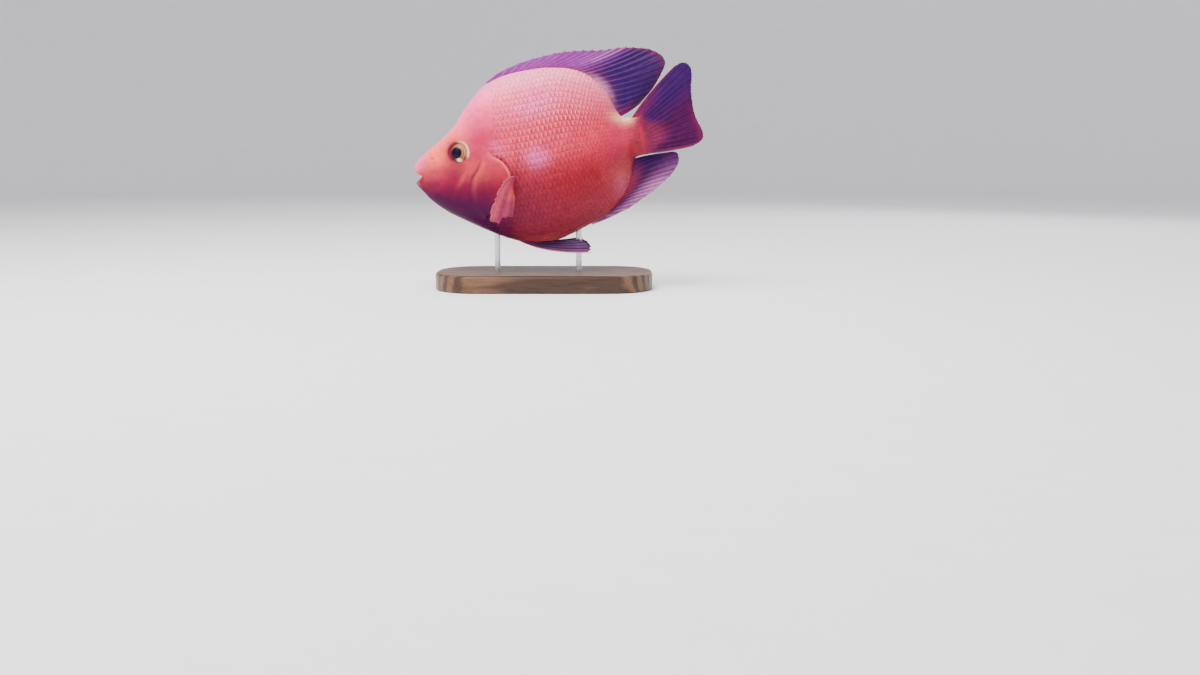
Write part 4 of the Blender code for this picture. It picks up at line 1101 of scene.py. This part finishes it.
def make_scales(side, sizes, look, finish):
    """Coat of one flank: closed scales, round behind, tilted so that each lies over the next.

    Across a scale the front edge goes back with the square of the distance from its middle and the
    rear edge comes in with a power of it; its height grows along it and falls off to its sides.
    """
    table = flank_table()
    row, step, steps, fine = scale_lattice(sizes, table)
    rng = np.random.default_rng(7)
    vary = rng.normal(1.0, SCALE_VARIATION, (len(row), 1, 1))
    lengthwise, crosswise = np.linspace(0, 1, SCALE_LENGTHWISE), np.linspace(-1, 1, SCALE_CROSSWISE)
    a, b = np.meshgrid(lengthwise, crosswise, indexing="ij")
    front = SCALE_FRONT * b**2
    rear = 1 - SCALE_REAR[0] * np.abs(b) ** SCALE_REAR[1]
    length_at = front + (rear - front) * a
    forth = step[:, None, None] + (length_at * sizes.reach - SCALE_OVERLAP) * vary
    x = np.interp(forth, steps, fine)
    arc = (row[:, None, None] + SCALE_HALF_HEIGHT * b * vary) * sizes.row * scale_size(x)
    lowest, highest = np.interp(x, table[0], table[4]), np.interp(x, table[0], table[5])
    ring, angle = look_up(table, x, np.clip(arc, lowest + LOOSE_EDGE, highest - LOOSE_EDGE))
    base = body_points(ring, angle)
    _, outward = body_axes(ring, angle)
    cover = scale_cover(base)
    root_x = np.interp(step, steps, fine)
    root_ring, root_angle = look_up(table, root_x, row * sizes.row * scale_size(root_x))
    root = body_points(root_ring, root_angle)
    # Strength of the painted highlight on each scale.
    shown = fleck_highlight_strength(root[:, 0], root[:, 2])
    relief = (LEAST_RELIEF + (1 - LEAST_RELIEF) * ease(shown, 0.05, 0.45))[:, None, None]
    level, rise, power, sag, offset = SCALE_TILT
    tilt = sizes.coat * (level + (rise * length_at**power - sag * b**2 - offset) * relief)
    top = (tilt - sizes.coat) * cover - sizes.thickness * (1 - cover)
    half = sizes.thickness / 2 * (1 - 0.8 * np.abs(b) ** 4)
    upper = base + outward * (top + half)[..., None]
    lower = base + outward * (top - half)[..., None]
    if side > 0:
        upper, lower = upper * MIRROR, lower * MIRROR
    points = np.stack([upper, lower], axis=1)
    faces = sheet_faces(SCALE_LENGTHWISE, SCALE_CROSSWISE)
    if side > 0:
        faces = faces[:, ::-1]
    each = 2 * SCALE_LENGTHWISE * SCALE_CROSSWISE
    faces = (faces[None] + each * np.arange(len(row))[:, None, None]).reshape(-1, 4)
    strength = shown * rng.uniform(*FLECK_HIGHLIGHT_VARIATION, len(row))
    colour = markings(base, look) * rng.uniform(*COLOUR_VARIATION, (len(row), 1, 1, 1))
    name = "scales_left" if side < 0 else "scales_right"
    piece = new_piece(name, in_place(points), faces.tolist(), finish, ())
    paint(piece, "markings", np.stack([colour, colour], axis=1))
    paint(piece, "fleck", np.broadcast_to(strength[:, None, None, None], (len(row), 2, *a.shape)))
    patch = np.stack([length_at - 0.5, b / 2], axis=-1) * OFBAKE_PATCH
    rooted = np.stack([root_ring / LAST_RING, root_angle / (2 * math.pi)], axis=-1)
    if side > 0:
        rooted[:, 1] = 1 - rooted[:, 1]
    unwrap = rooted[:, None, None, :] + patch
    add_map(piece, "OFBake", np.stack([unwrap, unwrap], axis=1))
    own = np.broadcast_to(np.stack([length_at, (b + 1) / 2], axis=-1), (len(row), *a.shape, 2))
    add_map(piece, "scale", np.stack([own, own], axis=1))


def pulse(tree, value, rise, fall):
    """Band of a value: smooth steps up over one range and down over another."""
    up = spread(tree, value, 0.0, 1.0, *rise, interpolation_type="SMOOTHSTEP")
    down = spread(tree, value, 1.0, 0.0, *fall, interpolation_type="SMOOTHSTEP")
    return times(tree, up, down)


def scale_finish(look):
    """Scales: markings under a pearly gloss, each with an upright painted highlight and a darker rim."""
    material, tree, shader = new_finish("scale", {
        "Roughness": 0.38, "Specular IOR Level": 0.07, "Subsurface Weight": 0.10, "Subsurface Scale": 0.003,
        "Subsurface Radius": FLESH_GLOW, "Coat Weight": 0.05, "Coat Roughness": 0.18})
    place, own = object_place(tree), own_map(tree, "scale")
    mottled = cloudy(tree, place, 0.12, 0.06)
    parts = add_node(tree, "SeparateXYZ", {0: own})
    # Painted highlight: an upright pale band near the rear of each scale.
    band = pulse(tree, parts.outputs["X"], (0.64, 0.73), (0.76, 0.87))
    tall = pulse(tree, parts.outputs["Y"], (0.06, 0.30), (0.70, 0.94))
    patchy = spread(tree, noise(tree, place, 700.0, 2.0), 0.55, 1.20, 0.35, 0.65)
    shown = painted(tree, "fleck", "Fac")
    fleck = times(tree, times(tree, band, tall), times(tree, shown, patchy))
    colour = mixed(tree, fleck, painted(tree, "markings"), look.fleck)
    depth = spread(tree, shown, 0.06, 0.20, 0.05, 0.50)
    at_rim = spread(tree, parts.outputs["X"], 0.0, 1.0, 0.86, 0.98)
    rim = spread(tree, times(tree, at_rim, depth), 1.0, 0.0)
    fill(tree, shader, {"Base Color": shaded(tree, shaded(tree, colour, mottled), rim)})
    centre = add_node(tree, "Mapping", {"Location": (-0.35, -0.5, 0), "Vector": own}).outputs["Vector"]
    rings = add_node(
        tree, "TexWave", {"Scale": 6.0, "Distortion": 0.6, "Vector": centre}, wave_type="RINGS",
        rings_direction="Z")
    raise_bumps(tree, shader, (rings.outputs["Fac"], 0.00002), (noise(tree, place, 900.0, 2.0), 0.00005))
    return material


def between(root, margin, share, depth, sweep, bow):
    """Side-view points on rays from a root line to a margin line, swept back and bowed."""
    start, end = along(root, share), along(margin, share**sweep)
    across = end - start
    lift = np.stack([-across[..., 1], across[..., 0]], axis=-1)
    return start + across * depth[..., None] + lift * (4 * bow * depth * (1 - depth))[..., None]


def fan(root, aim, margin, share, depth):
    """Points on rays that leave a root line by their aim and bend over to a margin line."""
    start, end = along(root, share), along(margin, share)
    knee = start + along(aim, share)
    t = depth[..., None]
    return start * (1 - t) ** 2 + 2 * knee * t * (1 - t) + end * t**2


def median_root(angle, rings):
    """Stretch of the back or belly line between two rings, sunk into the body."""
    ring = np.linspace(*rings, 16)
    angle = np.full(ring.shape, angle)
    return (body_points(ring, angle) - ROOT_DEPTH * body_axes(ring, angle)[1])[:, [0, 2]]


def upright(flat, aside):
    """Side-view points stood in space at a sideways distance."""
    return np.stack([flat[..., 0], aside, flat[..., 1]], axis=-1)


def ripple(share, depth, turns):
    """Wave of a margin, a sine of the share that grows with depth."""
    return WAVE * np.sin(share * turns) * depth


def trailing(share, depth, lobe):
    """Sideways lag of a lobe, which grows past its start and towards its margin."""
    start, width = lobe
    return LOBE_TRAIL * np.clip((share - start) / width, 0, 1) ** 2 * depth**1.4


def dorsal_place(share, depth):
    """Fin on the back, whose rear lobe lags aside and whose margin waves."""
    flat = between(median_root(0.0, DORSAL_RINGS), DORSAL_MARGIN, share, depth, DORSAL_SWEEP, DORSAL_BOW)
    return upright(flat, trailing(share, depth, DORSAL_LOBE) + ripple(share, depth, 19))


def anal_place(share, depth):
    """Fin under the belly, whose rear lobe lags aside and whose margin waves."""
    flat = between(median_root(math.pi, ANAL_RINGS), ANAL_MARGIN, share, depth, ANAL_SWEEP, ANAL_BOW)
    return upright(flat, trailing(share, depth, ANAL_LOBE) + ripple(share, depth, 13))


def tail_place(share, depth):
    """Fan off the tail root, cupped to the left, its lower lobe bent furthest."""
    flat = between(TAIL_ROOT, TAIL_MARGIN, share, depth, 1, TAIL_BOW * (1 - 2 * share))
    fold = np.clip((share - TAIL_FOLD) / (1 - TAIL_FOLD), 0, 1) ** 2
    curl = TAIL_CURL * (np.sin(math.pi * share) + fold) * depth**2
    return upright(flat, ripple(share, depth, 22) - curl)


def pectoral_place(share, depth):
    """The left fin leaves the flank outwards, behind the gill slit, then bends down and forward."""
    root = np.array([flank_spot(place, -1)[0] for place in PECTORAL_ROOT])
    root[:, 1] += ROOT_DEPTH
    point = fan(root, PECTORAL_AIM, PECTORAL_MARGIN, share, depth)
    point[..., 1] += ripple(share, depth, 17)
    teeth = np.abs(np.sin(FRINGE_TURNS[0] * depth) * np.sin(FRINGE_TURNS[1] * depth + 1))
    point[..., 0] += FRINGE * bell(share, 0.06) * teeth * ease(depth, 0.2, 0.5)
    return point


def pelvic_place(share, depth):
    """The left fin leaves the belly and trails back along it."""
    return fan(PELVIC_ROOT, PELVIC_AIM, PELVIC_MARGIN, share, depth)


def dorsal_colours(share, depth, ray, look):
    """Mauve in front and indigo behind, over a pink base, with pale streaks before the lobe."""
    outer = ease(depth, 0.35, 0.6)
    return coated(
        look.mauve,
        (look.indigo, 0.95 * ease(share + 0.12 * depth, 0.48, 0.68)),
        (look.rose, 0.40 * ease(share, 0.90, 1.0)),
        (look.rose, 0.55 * (1 - ease(depth, 0.04, 0.36)) * (1 - 0.6 * ease(share, 0.55, 0.8))),
        (look.pale, 0.44 * (1 - ease(depth, 0.04, 0.22)) * bell(share - 0.75, 0.14)),
        (look.rose, 0.35 * bell(depth - 1.0, 0.06) * ease(share, 0.1, 0.2)),
        (look.pale, 0.24 * bell(share - 0.460, 0.009) * outer),
        (look.pale, 0.24 * bell(share - 0.500, 0.009) * outer),
        (look.pale, ray * (0.15 - 0.10 * ease(share, 0.5, 0.75))))


def anal_colours(share, depth, ray, look):
    """Whitish rays in front and below, mauve in the middle and plum beside the tail root."""
    pale = ease(-share, -0.82, -0.42) * ease(depth, 0.18, 0.80)
    base = (1 - ease(depth, 0.05, 0.40)) * (1 - 0.8 * ease(share, 0.55, 0.9))
    return coated(
        look.plum,
        (look.mauve, 0.40 * ease(depth - 0.5 * share, 0.05, 0.55)),
        (look.indigo, 0.65 * ease(share, 0.55, 0.95)),
        (look.coral, 0.80 * base),
        (look.pale, 0.15 * pale),
        (look.pale, ray * (0.03 + 0.37 * pale)))


def tail_colours(share, depth, ray, look):
    """Indigo above, plum below, coral at the scaled base, with a warm upper edge."""
    lower = 0.20 * bell(share - 0.66, 0.24)
    solid = 0.13 + lower
    return coated(
        look.indigo,
        (look.plum, ease(share + 0.10 * depth, 0.32, 0.66)),
        (look.base, 1 - ease(depth, solid, solid + 0.12 + lower)),
        (look.rose, 0.55 * bell(share, 0.040) + 0.45 * bell(share - 1, 0.050)),
        (look.rose, 0.50 * bell(share, 0.20) * (1 - ease(depth, 0.15, 0.70))),
        (look.rose, 0.45 * bell(depth - 1.0, 0.06) * ease(share, 0.45, 0.7)),
        (look.rose, ray * (0.26 - 0.12 * ease(depth, 0.5, 1.0))))


def pectoral_colours(share, depth, ray, look):
    """Coral at the root, amber along the rear edge, rose at the tip, and a paler front edge."""
    return coated(
        look.coral,
        (look.amber, 0.80 * ease(share, 0.45, 0.9) * (1 - ease(depth, 0.66, 0.86))),
        (look.rose, 0.85 * ease(depth, 0.50, 0.80) * ease(share, 0.05, 0.4)),
        (look.pale, 0.08 * ray + 0.20 * bell(share, 0.05)))


def pelvic_colours(share, depth, ray, look):
    """Dark plum with a paler leading edge."""
    return coated(
        np.array(look.plum) * 0.6 + np.array(look.indigo) * 0.4,
        (look.rose, 0.60 * (1 - ease(depth, 0.05, 0.45))),
        (look.amber, 0.45 * bell(share, 0.12)),
        (look.pale, 0.15 * ray + 0.35 * bell(share, 0.06) * ease(depth, 0.2, 0.5)))


FIN_MAKERS = {
    "dorsal_fin": (dorsal_place, dorsal_colours),
    "anal_fin": (anal_place, anal_colours),
    "caudal_fin": (tail_place, tail_colours),
    "pectoral_fin": (pectoral_place, pectoral_colours),
    "pelvic_fin": (pelvic_place, pelvic_colours),
}


def ray_crest(share, depth, rays, spiny):
    """Height of the rays, 1 on a crest: spines stay single, and soft rays part in two and in four.

    Each ray is a bell across the fin. The two halves of a soft ray draw apart past a third of the
    depth, and each of them parts again near the margin.
    """
    at = share * (rays - 1)
    away = at - np.round(at)
    soft = ease(np.round(at) / (rays - 1), spiny, spiny + SPINE_TO_RAY) if spiny else np.ones(share.shape)
    first = HALVES_APART * ease(depth, 0.30, 0.85) * soft
    second = QUARTERS_APART * ease(depth, 0.62, 1.0) * soft
    width = RAY_WIDTH - RAY_THINNING * ease(depth, 0.2, 0.8) * soft
    branches = [bell(away - one * first - two * second, width) for one in (-1, 1) for two in (-1, 1)]
    return np.max(branches, axis=0)


def make_fin(name, look, finish, side=0):
    """A fin as one closed sheet round its middle surface, with its rays as ridges on both faces.

    The middle surface is longer on a ray and shorter between two, by a reach that falls off along
    the spines, and is a little uneven. The thickness is the membrane's, and a ray's on its crest.
    """
    rays, rows, root, spiny, fray, taper, height, clearness = FINS[name]
    place, colours_of = FIN_MAKERS[name]
    columns = (rays - 1) * COLUMNS_PER_RAY + 1
    share, depth = np.meshgrid(np.linspace(0, 1, columns), np.linspace(0, 1, rows), indexing="ij")
    crest = ray_crest(share, depth, rays, spiny)
    tip = ray_crest(share[:, -1:], np.ones((columns, 1)), rays, spiny)
    rng = np.random.default_rng(len(name))
    uneven = np.interp(share * (rays - 1), np.arange(rays), rng.normal(0, 1, rays))
    reach = RAY_REACH
    if spiny:
        reach = SPINE_REACH * np.clip((spiny - share) / LAPPET_STEP, LAPPET_STEP, 1)
    ragged = fray * uneven - taper * share**1.5
    mid = place(share, depth * (1 + (reach * (tip - 0.5) + ragged) * depth**2))
    normal = unit(np.cross(np.gradient(mid, axis=0), np.gradient(mid, axis=1)))
    fleshy = np.clip(1 - depth / FLESHY_ROOT, 0, 1) ** 2
    membrane = look.membrane + (root - look.membrane) * fleshy
    ridge = height * (look.ray_tip + (look.ray_root - look.ray_tip) * (1 - depth) ** 1.5)
    thickness = membrane + np.clip(ridge - membrane, 0, None) * crest
    points = np.stack([mid + normal * thickness[..., None] / 2, mid - normal * thickness[..., None] / 2])
    faces = sheet_faces(*share.shape)
    if side > 0:
        points, faces = points * MIRROR, faces[:, ::-1]
    node = name + {-1: "_left", 0: "", 1: "_right"}[side]
    piece = new_piece(node + "_rays", in_place(points), faces.tolist(), finish, (node,))
    colour = colours_of(share, depth, crest * (1 - fleshy), look)
    paint(piece, "markings", np.stack([colour, colour]))
    clear = clearness * ease(depth, 0.12, 0.55) * (1 - 0.6 * crest)
    paint(piece, "body", np.stack([1 - clear, 1 - clear]))
    own = np.stack([share * (rays - 1) / RAYS_PER_MAP, depth], axis=-1)
    add_map(piece, "rays", np.stack([own, own]))


def fin_finish():
    """Thin wet membrane, thinner between the rays, with the joints of the rays as fine bands."""
    material, tree, shader = new_finish("fin membrane", {
        "Roughness": 0.45, "Specular IOR Level": 0.05, "Subsurface Weight": 0.10, "Subsurface Scale": 0.002,
        "Subsurface Radius": MEMBRANE_GLOW, "Coat Weight": 0.03, "Coat Roughness": 0.22})
    place = object_place(tree)
    colour = shaded(tree, painted(tree, "markings"), mottle(tree, place, 330.0, 4.0, 0.20))
    fill(tree, shader, {"Base Color": colour, "Alpha": painted(tree, "body", "Fac")})
    joints = add_node(
        tree, "TexWave", {"Scale": 12.0, "Distortion": 0.8, "Vector": own_map(tree, "rays")},
        bands_direction="Y")
    raise_bumps(tree, shader, (joints.outputs["Fac"], 0.00004), (noise(tree, place, 800.0), 0.00010))
    return material


# Markings of an eye, as in the table of the fish's own. Reach is 1 at the eyeball's rim.
EYE_MARKINGS = (
    ("ring", 0.60, ("share", "behind"), ("line", "reach", 0.78, 0.055)),
    # Painted shade: a crescent in front of the pupil, and the eyeball's rim except behind.
    ("shade", 0.95, ("share", "front"), ("rise", "reach", 0.50, 0.60)),
    ("shade", 0.85, ("rise", "reach", 0.78, 0.92), ("share", "not_behind")),
    ("cream", 0.85, ("share", "crescent"), ("line", "reach", 0.97, 0.07)),
    # Painted reflection: a pale patch below the pupil.
    ("cream", 1.0, ("share", "below"), ("rise", "reach", 0.56, 0.60), ("rise", "inward", -0.97, -0.88)),
    ("ring", 0.45, ("line", "past_pupil", 0.05, 0.030), ("share", "behind")),
    ("pupil", 1.0, ("rise", "in_pupil", -0.02, 0.02)),
)


def toward(turn, degrees):
    """1 in a direction and 0 away from it, by the cosine of the turn between."""
    return (1 + np.cos(turn - math.radians(degrees))) / 2


def eye_colours(reach, turn, look):
    """Colours of an eyeball's face by distance from the pupil's middle and by direction, with painted shade
    in front and round the rim and a painted reflection below the pupil.

    The direction is 0 towards the tail and a quarter turn upwards.
    """
    behind = toward(turn, 25)
    at = {
        "reach": reach, "inward": -reach, "past_pupil": reach - look.pupil_share,
        "in_pupil": look.pupil_share - reach, "behind": behind, "not_behind": 1 - 0.75 * behind,
        "front": toward(turn, 200), "crescent": ease(np.cos(turn - math.radians(24)), 0.20, 0.75),
        "below": bell(np.angle(np.exp(1j * (turn + math.radians(88)))), 0.27),
    }
    return lay(np.broadcast_to(np.array(look.iris), (*reach.shape, 3)), EYE_MARKINGS, at, look)


def make_eye(side, look, finish):
    """Eyeball: an ellipsoid whose face has a domed lens in a ring-shaped dip, the iris.

    The polar angle runs from the face to the back, and the pupil's side of it is moved ahead.
    """
    middle, tailward, upward, outward = eye_axes(side)
    polar = np.linspace(0, 1, EYE_ROWS)[1:-1] ** EYE_CROWDING * math.pi
    turn = np.linspace(0, 2 * math.pi, EYE_COLUMNS, endpoint=False)
    polar, turn = np.meshgrid(polar, turn, indexing="ij")
    reach = np.where(polar < math.pi / 2, np.sin(polar), 2 - np.sin(polar))
    flat = np.sin(polar) * EYE_RADIUS
    dip = EYE_DIP * bell(reach - EYE_DIP_AT, EYE_DIP_WIDTH) * (polar < math.pi / 2)
    out = np.cos(polar) * EYE_BULGE - dip + EYE_LENS * ease(-reach, -look.pupil_share, 0)
    ahead = -look.pupil_ahead * (1 - np.clip(reach, 0, 1) ** 2)
    u, w = flat * np.cos(turn) + ahead, flat * np.sin(turn)
    points = middle + u[..., None] * tailward + w[..., None] * upward + out[..., None] * outward
    front = middle - look.pupil_ahead * tailward + (EYE_BULGE + EYE_LENS) * outward
    places = in_place(np.vstack([points.reshape(-1, 3), front, middle - EYE_BULGE * outward]))
    faces = tube_faces(*polar.shape, turned=side > 0)
    name = "eye_left" if side < 0 else "eye_right"
    piece = new_piece(name + "_ball", places, faces, finish, (name,))
    colour = eye_colours(reach, turn, look)
    paint(piece, "markings", np.vstack([colour.reshape(-1, 3), look.pupil, look.shade]))


def eye_finish():
    """Wet eye: painted iris with fine silvery specks under a clear, sharp coat."""
    material, tree, shader = new_finish("wet eye", {
        "Roughness": 0.35, "Specular IOR Level": 0.05, "Coat Weight": 0.11, "Coat Roughness": 0.03})
    place = object_place(tree)
    specks = mottle(tree, place, 4200.0, 3.0, 0.22, 0.30)
    fill(tree, shader, {"Base Color": shaded(tree, painted(tree, "markings"), specks)})
    raise_bumps(tree, shader, (noise(tree, place, 3000.0, 2.0), 0.00002))
    return material


def walnut_finish(look):
    """Oiled walnut: stretched rings warped by noise, with fine pores along the grain."""
    material, tree, shader = new_finish("oiled walnut", {
        "Specular IOR Level": 0.3, "Coat Weight": 0.10, "Coat Roughness": 0.25})
    rings = add_node(tree, "TexWave", {
        "Scale": 0.75, "Distortion": 7.0, "Detail": 3.0, "Detail Scale": 0.9,
        "Vector": object_place(tree, (9.0, 70.0, 70.0))}, bands_direction="Y")
    colour = mixed(tree, spread(tree, rings.outputs["Fac"], 0.0, 1.0, 0.15, 0.85), look.grain, look.wood)
    pores = noise(tree, object_place(tree, (60.0, 1600.0, 1600.0)), 1.0, 2.0)
    fill(tree, shader, {
        "Base Color": shaded(tree, colour, spread(tree, pores, 0.62, 1.12, 0.30, 0.55)),
        "Roughness": spread(tree, pores, 0.52, 0.32, 0.30, 0.60)})
    raise_bumps(tree, shader, (pores, 0.00010))
    return material


def steel_finish(look):
    """Brushed steel: fine scratches round the rod in roughness and bump."""
    material, tree, shader = new_finish("brushed steel", {"Metallic": 1.0, "Base Color": look.steel})
    scratches = noise(tree, object_place(tree, (300.0, 300.0, 9000.0)), 1.0)
    fill(tree, shader, {"Roughness": spread(tree, scratches, 0.20, 0.42, 0.30, 0.70)})
    raise_bumps(tree, shader, (scratches, 0.00001))
    return material


def paper_finish(look):
    """Matt backdrop paper with a faint tooth."""
    material, tree, shader = new_finish("backdrop paper", {"Roughness": 0.85})
    plain = add_node(tree, "RGB", {}).outputs[0]
    plain.default_value = (*look.paper, 1.0)
    tooth = mottle(tree, object_place(tree), 60.0, 3.0, 0.015, 0.3)
    fill(tree, shader, {"Base Color": shaded(tree, plain, tooth)})
    return material


def make_backdrop(look):
    """Round floor that turns up into a wall by a quarter circle, its profile carried round the fish."""
    turn = np.linspace(0, math.pi / 2, BOWL_STEPS)
    curve = np.stack([BOWL_FLOOR + BOWL_CURVE * np.sin(turn), BOWL_CURVE * (1 - np.cos(turn))], axis=-1)
    profile = np.vstack([[(0.02, 0.0)], curve, [(BOWL_FLOOR + BOWL_CURVE, BOWL_HEIGHT)]])
    around = np.linspace(0, 2 * math.pi, BOWL_SIDES, endpoint=False)
    radius, height = np.meshgrid(profile[:, 0], np.ones(BOWL_SIDES), indexing="ij")[0], profile[:, 1]
    points = np.stack([
        radius * np.cos(around), radius * np.sin(around),
        np.broadcast_to(height[:, None], radius.shape)], axis=-1)
    faces = grid_faces(*radius.shape, closed=True)[:, ::-1].tolist()
    mesh = bpy.data.meshes.new("backdrop")
    mesh.from_pydata(points.reshape(-1, 3).tolist(), [], [*faces, list(range(BOWL_SIDES))])
    mesh.shade_smooth()
    mesh.materials.append(paper_finish(look))
    floor = bpy.data.objects.new("backdrop", mesh)
    bpy.context.scene.collection.objects.link(floor)


def add_lamp(name, power, size, place, colour):
    """Square soft lamp turned towards the fish."""
    lamp = bpy.data.lights.new(name, "AREA")
    lamp.energy = power
    lamp.size = size
    lamp.color = colour
    holder = bpy.data.objects.new(name, lamp)
    holder.location = place
    holder.rotation_euler = (Vector(LAMP_AIM) - Vector(place)).to_track_quat("-Z", "Y").to_euler()
    bpy.context.scene.collection.objects.link(holder)


def make_studio(look):
    """Backdrop, soft lamps above, beside the camera and behind, pale sky, and the camera."""
    make_backdrop(look)
    for name, (size, place, colour) in LAMPS.items():
        add_lamp(name + "_lamp", getattr(look, name), size, place, colour)
    world = bpy.data.worlds.new("pale sky")
    world.use_nodes = True
    fill(world.node_tree, world.node_tree.nodes["Background"], {"Color": SKY_COLOUR, "Strength": look.sky})
    bpy.context.scene.world = world
    camera = bpy.data.cameras.new("photo_camera")
    camera.lens = look.lens
    camera.sensor_width = SENSOR
    camera.clip_start = NEAREST_SEEN
    holder = bpy.data.objects.new("photo_camera", camera)
    holder.location = CAMERA_PLACE
    holder.rotation_euler = (math.radians(90 - CAMERA_DIP), 0, 0)
    bpy.context.scene.collection.objects.link(holder)
    bpy.context.scene.camera = holder


class CICHLID_OT_skin(bpy.types.Operator):
    """Makes the one skin over head, gill covers, torso and tail root"""

    bl_idname = "cichlid.skin"
    bl_label = "Skin"

    def execute(self, context):
        scene = context.scene
        make_skin(scene.cichlid_flesh, scene.cichlid_scales.coat, scene.cichlid_fins)
        return {"FINISHED"}


class CICHLID_OT_scales(bpy.types.Operator):
    """Makes the coat of scales on both flanks"""

    bl_idname = "cichlid.scales"
    bl_label = "Scales"

    def execute(self, context):
        scene = context.scene
        finish = scale_finish(scene.cichlid_flesh)
        for side in (-1, 1):
            make_scales(side, scene.cichlid_scales, scene.cichlid_flesh, finish)
        return {"FINISHED"}


class CICHLID_OT_fins(bpy.types.Operator):
    """Makes the seven fins with their branching rays"""

    bl_idname = "cichlid.fins"
    bl_label = "Fins"

    def execute(self, context):
        look, finish = context.scene.cichlid_fins, fin_finish()
        for name in ("dorsal_fin", "anal_fin", "caudal_fin"):
            make_fin(name, look, finish)
        for name in ("pectoral_fin", "pelvic_fin"):
            for side in (-1, 1):
                make_fin(name, look, finish, side)
        return {"FINISHED"}


class CICHLID_OT_eyes(bpy.types.Operator):
    """Makes both eyeballs"""

    bl_idname = "cichlid.eyes"
    bl_label = "Eyes"

    def execute(self, context):
        finish = eye_finish()
        for side in (-1, 1):
            make_eye(side, context.scene.cichlid_eyes, finish)
        return {"FINISHED"}


class CICHLID_OT_stand(bpy.types.Operator):
    """Gives the base oiled walnut and the rods brushed steel"""

    bl_idname = "cichlid.stand"
    bl_label = "Stand"

    def execute(self, context):
        look = context.scene.cichlid_stand
        steel = steel_finish(look)
        finishes = {"stand_base": walnut_finish(look), "stand_rod_front": steel, "stand_rod_rear": steel}
        for name, finish in finishes.items():
            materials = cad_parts[name].data.materials
            materials.clear()
            materials.append(finish)
        return {"FINISHED"}


class CICHLID_OT_studio(bpy.types.Operator):
    """Sets up floor, lamps, sky and the camera of the photograph"""

    bl_idname = "cichlid.studio"
    bl_label = "Studio"

    def execute(self, context):
        make_studio(context.scene.cichlid_studio)
        return {"FINISHED"}


OPERATORS = (
    CICHLID_OT_studio, CICHLID_OT_skin, CICHLID_OT_scales, CICHLID_OT_fins, CICHLID_OT_eyes,
    CICHLID_OT_stand)


class CICHLID_PT_sidebar(bpy.types.Panel):
    """Sidebar of the 3D view with a button for each step and the settings under it"""

    bl_label = "Blood Parrot Cichlid"
    bl_space_type = "VIEW_3D"
    bl_region_type = "UI"
    bl_category = "Cichlid"

    def draw(self, context):
        for operator in OPERATORS:
            self.layout.operator(operator.bl_idname)
        for name, group in SETTINGS.items():
            box = self.layout.box()
            box.label(text=group.__doc__.rstrip("."))
            for setting in group.__annotations__:
                box.prop(getattr(context.scene, name), setting)


CLASSES = (*SETTINGS.values(), *OPERATORS, CICHLID_PT_sidebar)


def register():
    """Adds the settings, the operators and the panel."""
    for entry in CLASSES:
        bpy.utils.register_class(entry)
    for name, group in SETTINGS.items():
        setattr(bpy.types.Scene, name, bpy.props.PointerProperty(type=group))


def unregister():
    """Takes them out again in the reverse order."""
    for name in SETTINGS:
        delattr(bpy.types.Scene, name)
    for entry in reversed(CLASSES):
        bpy.utils.unregister_class(entry)


def main():
    """Builds everything step by step."""
    register()
    for operator in OPERATORS:
        getattr(bpy.ops.cichlid, operator.bl_idname.split(".")[1])()


if __name__ == "__main__":
    main()
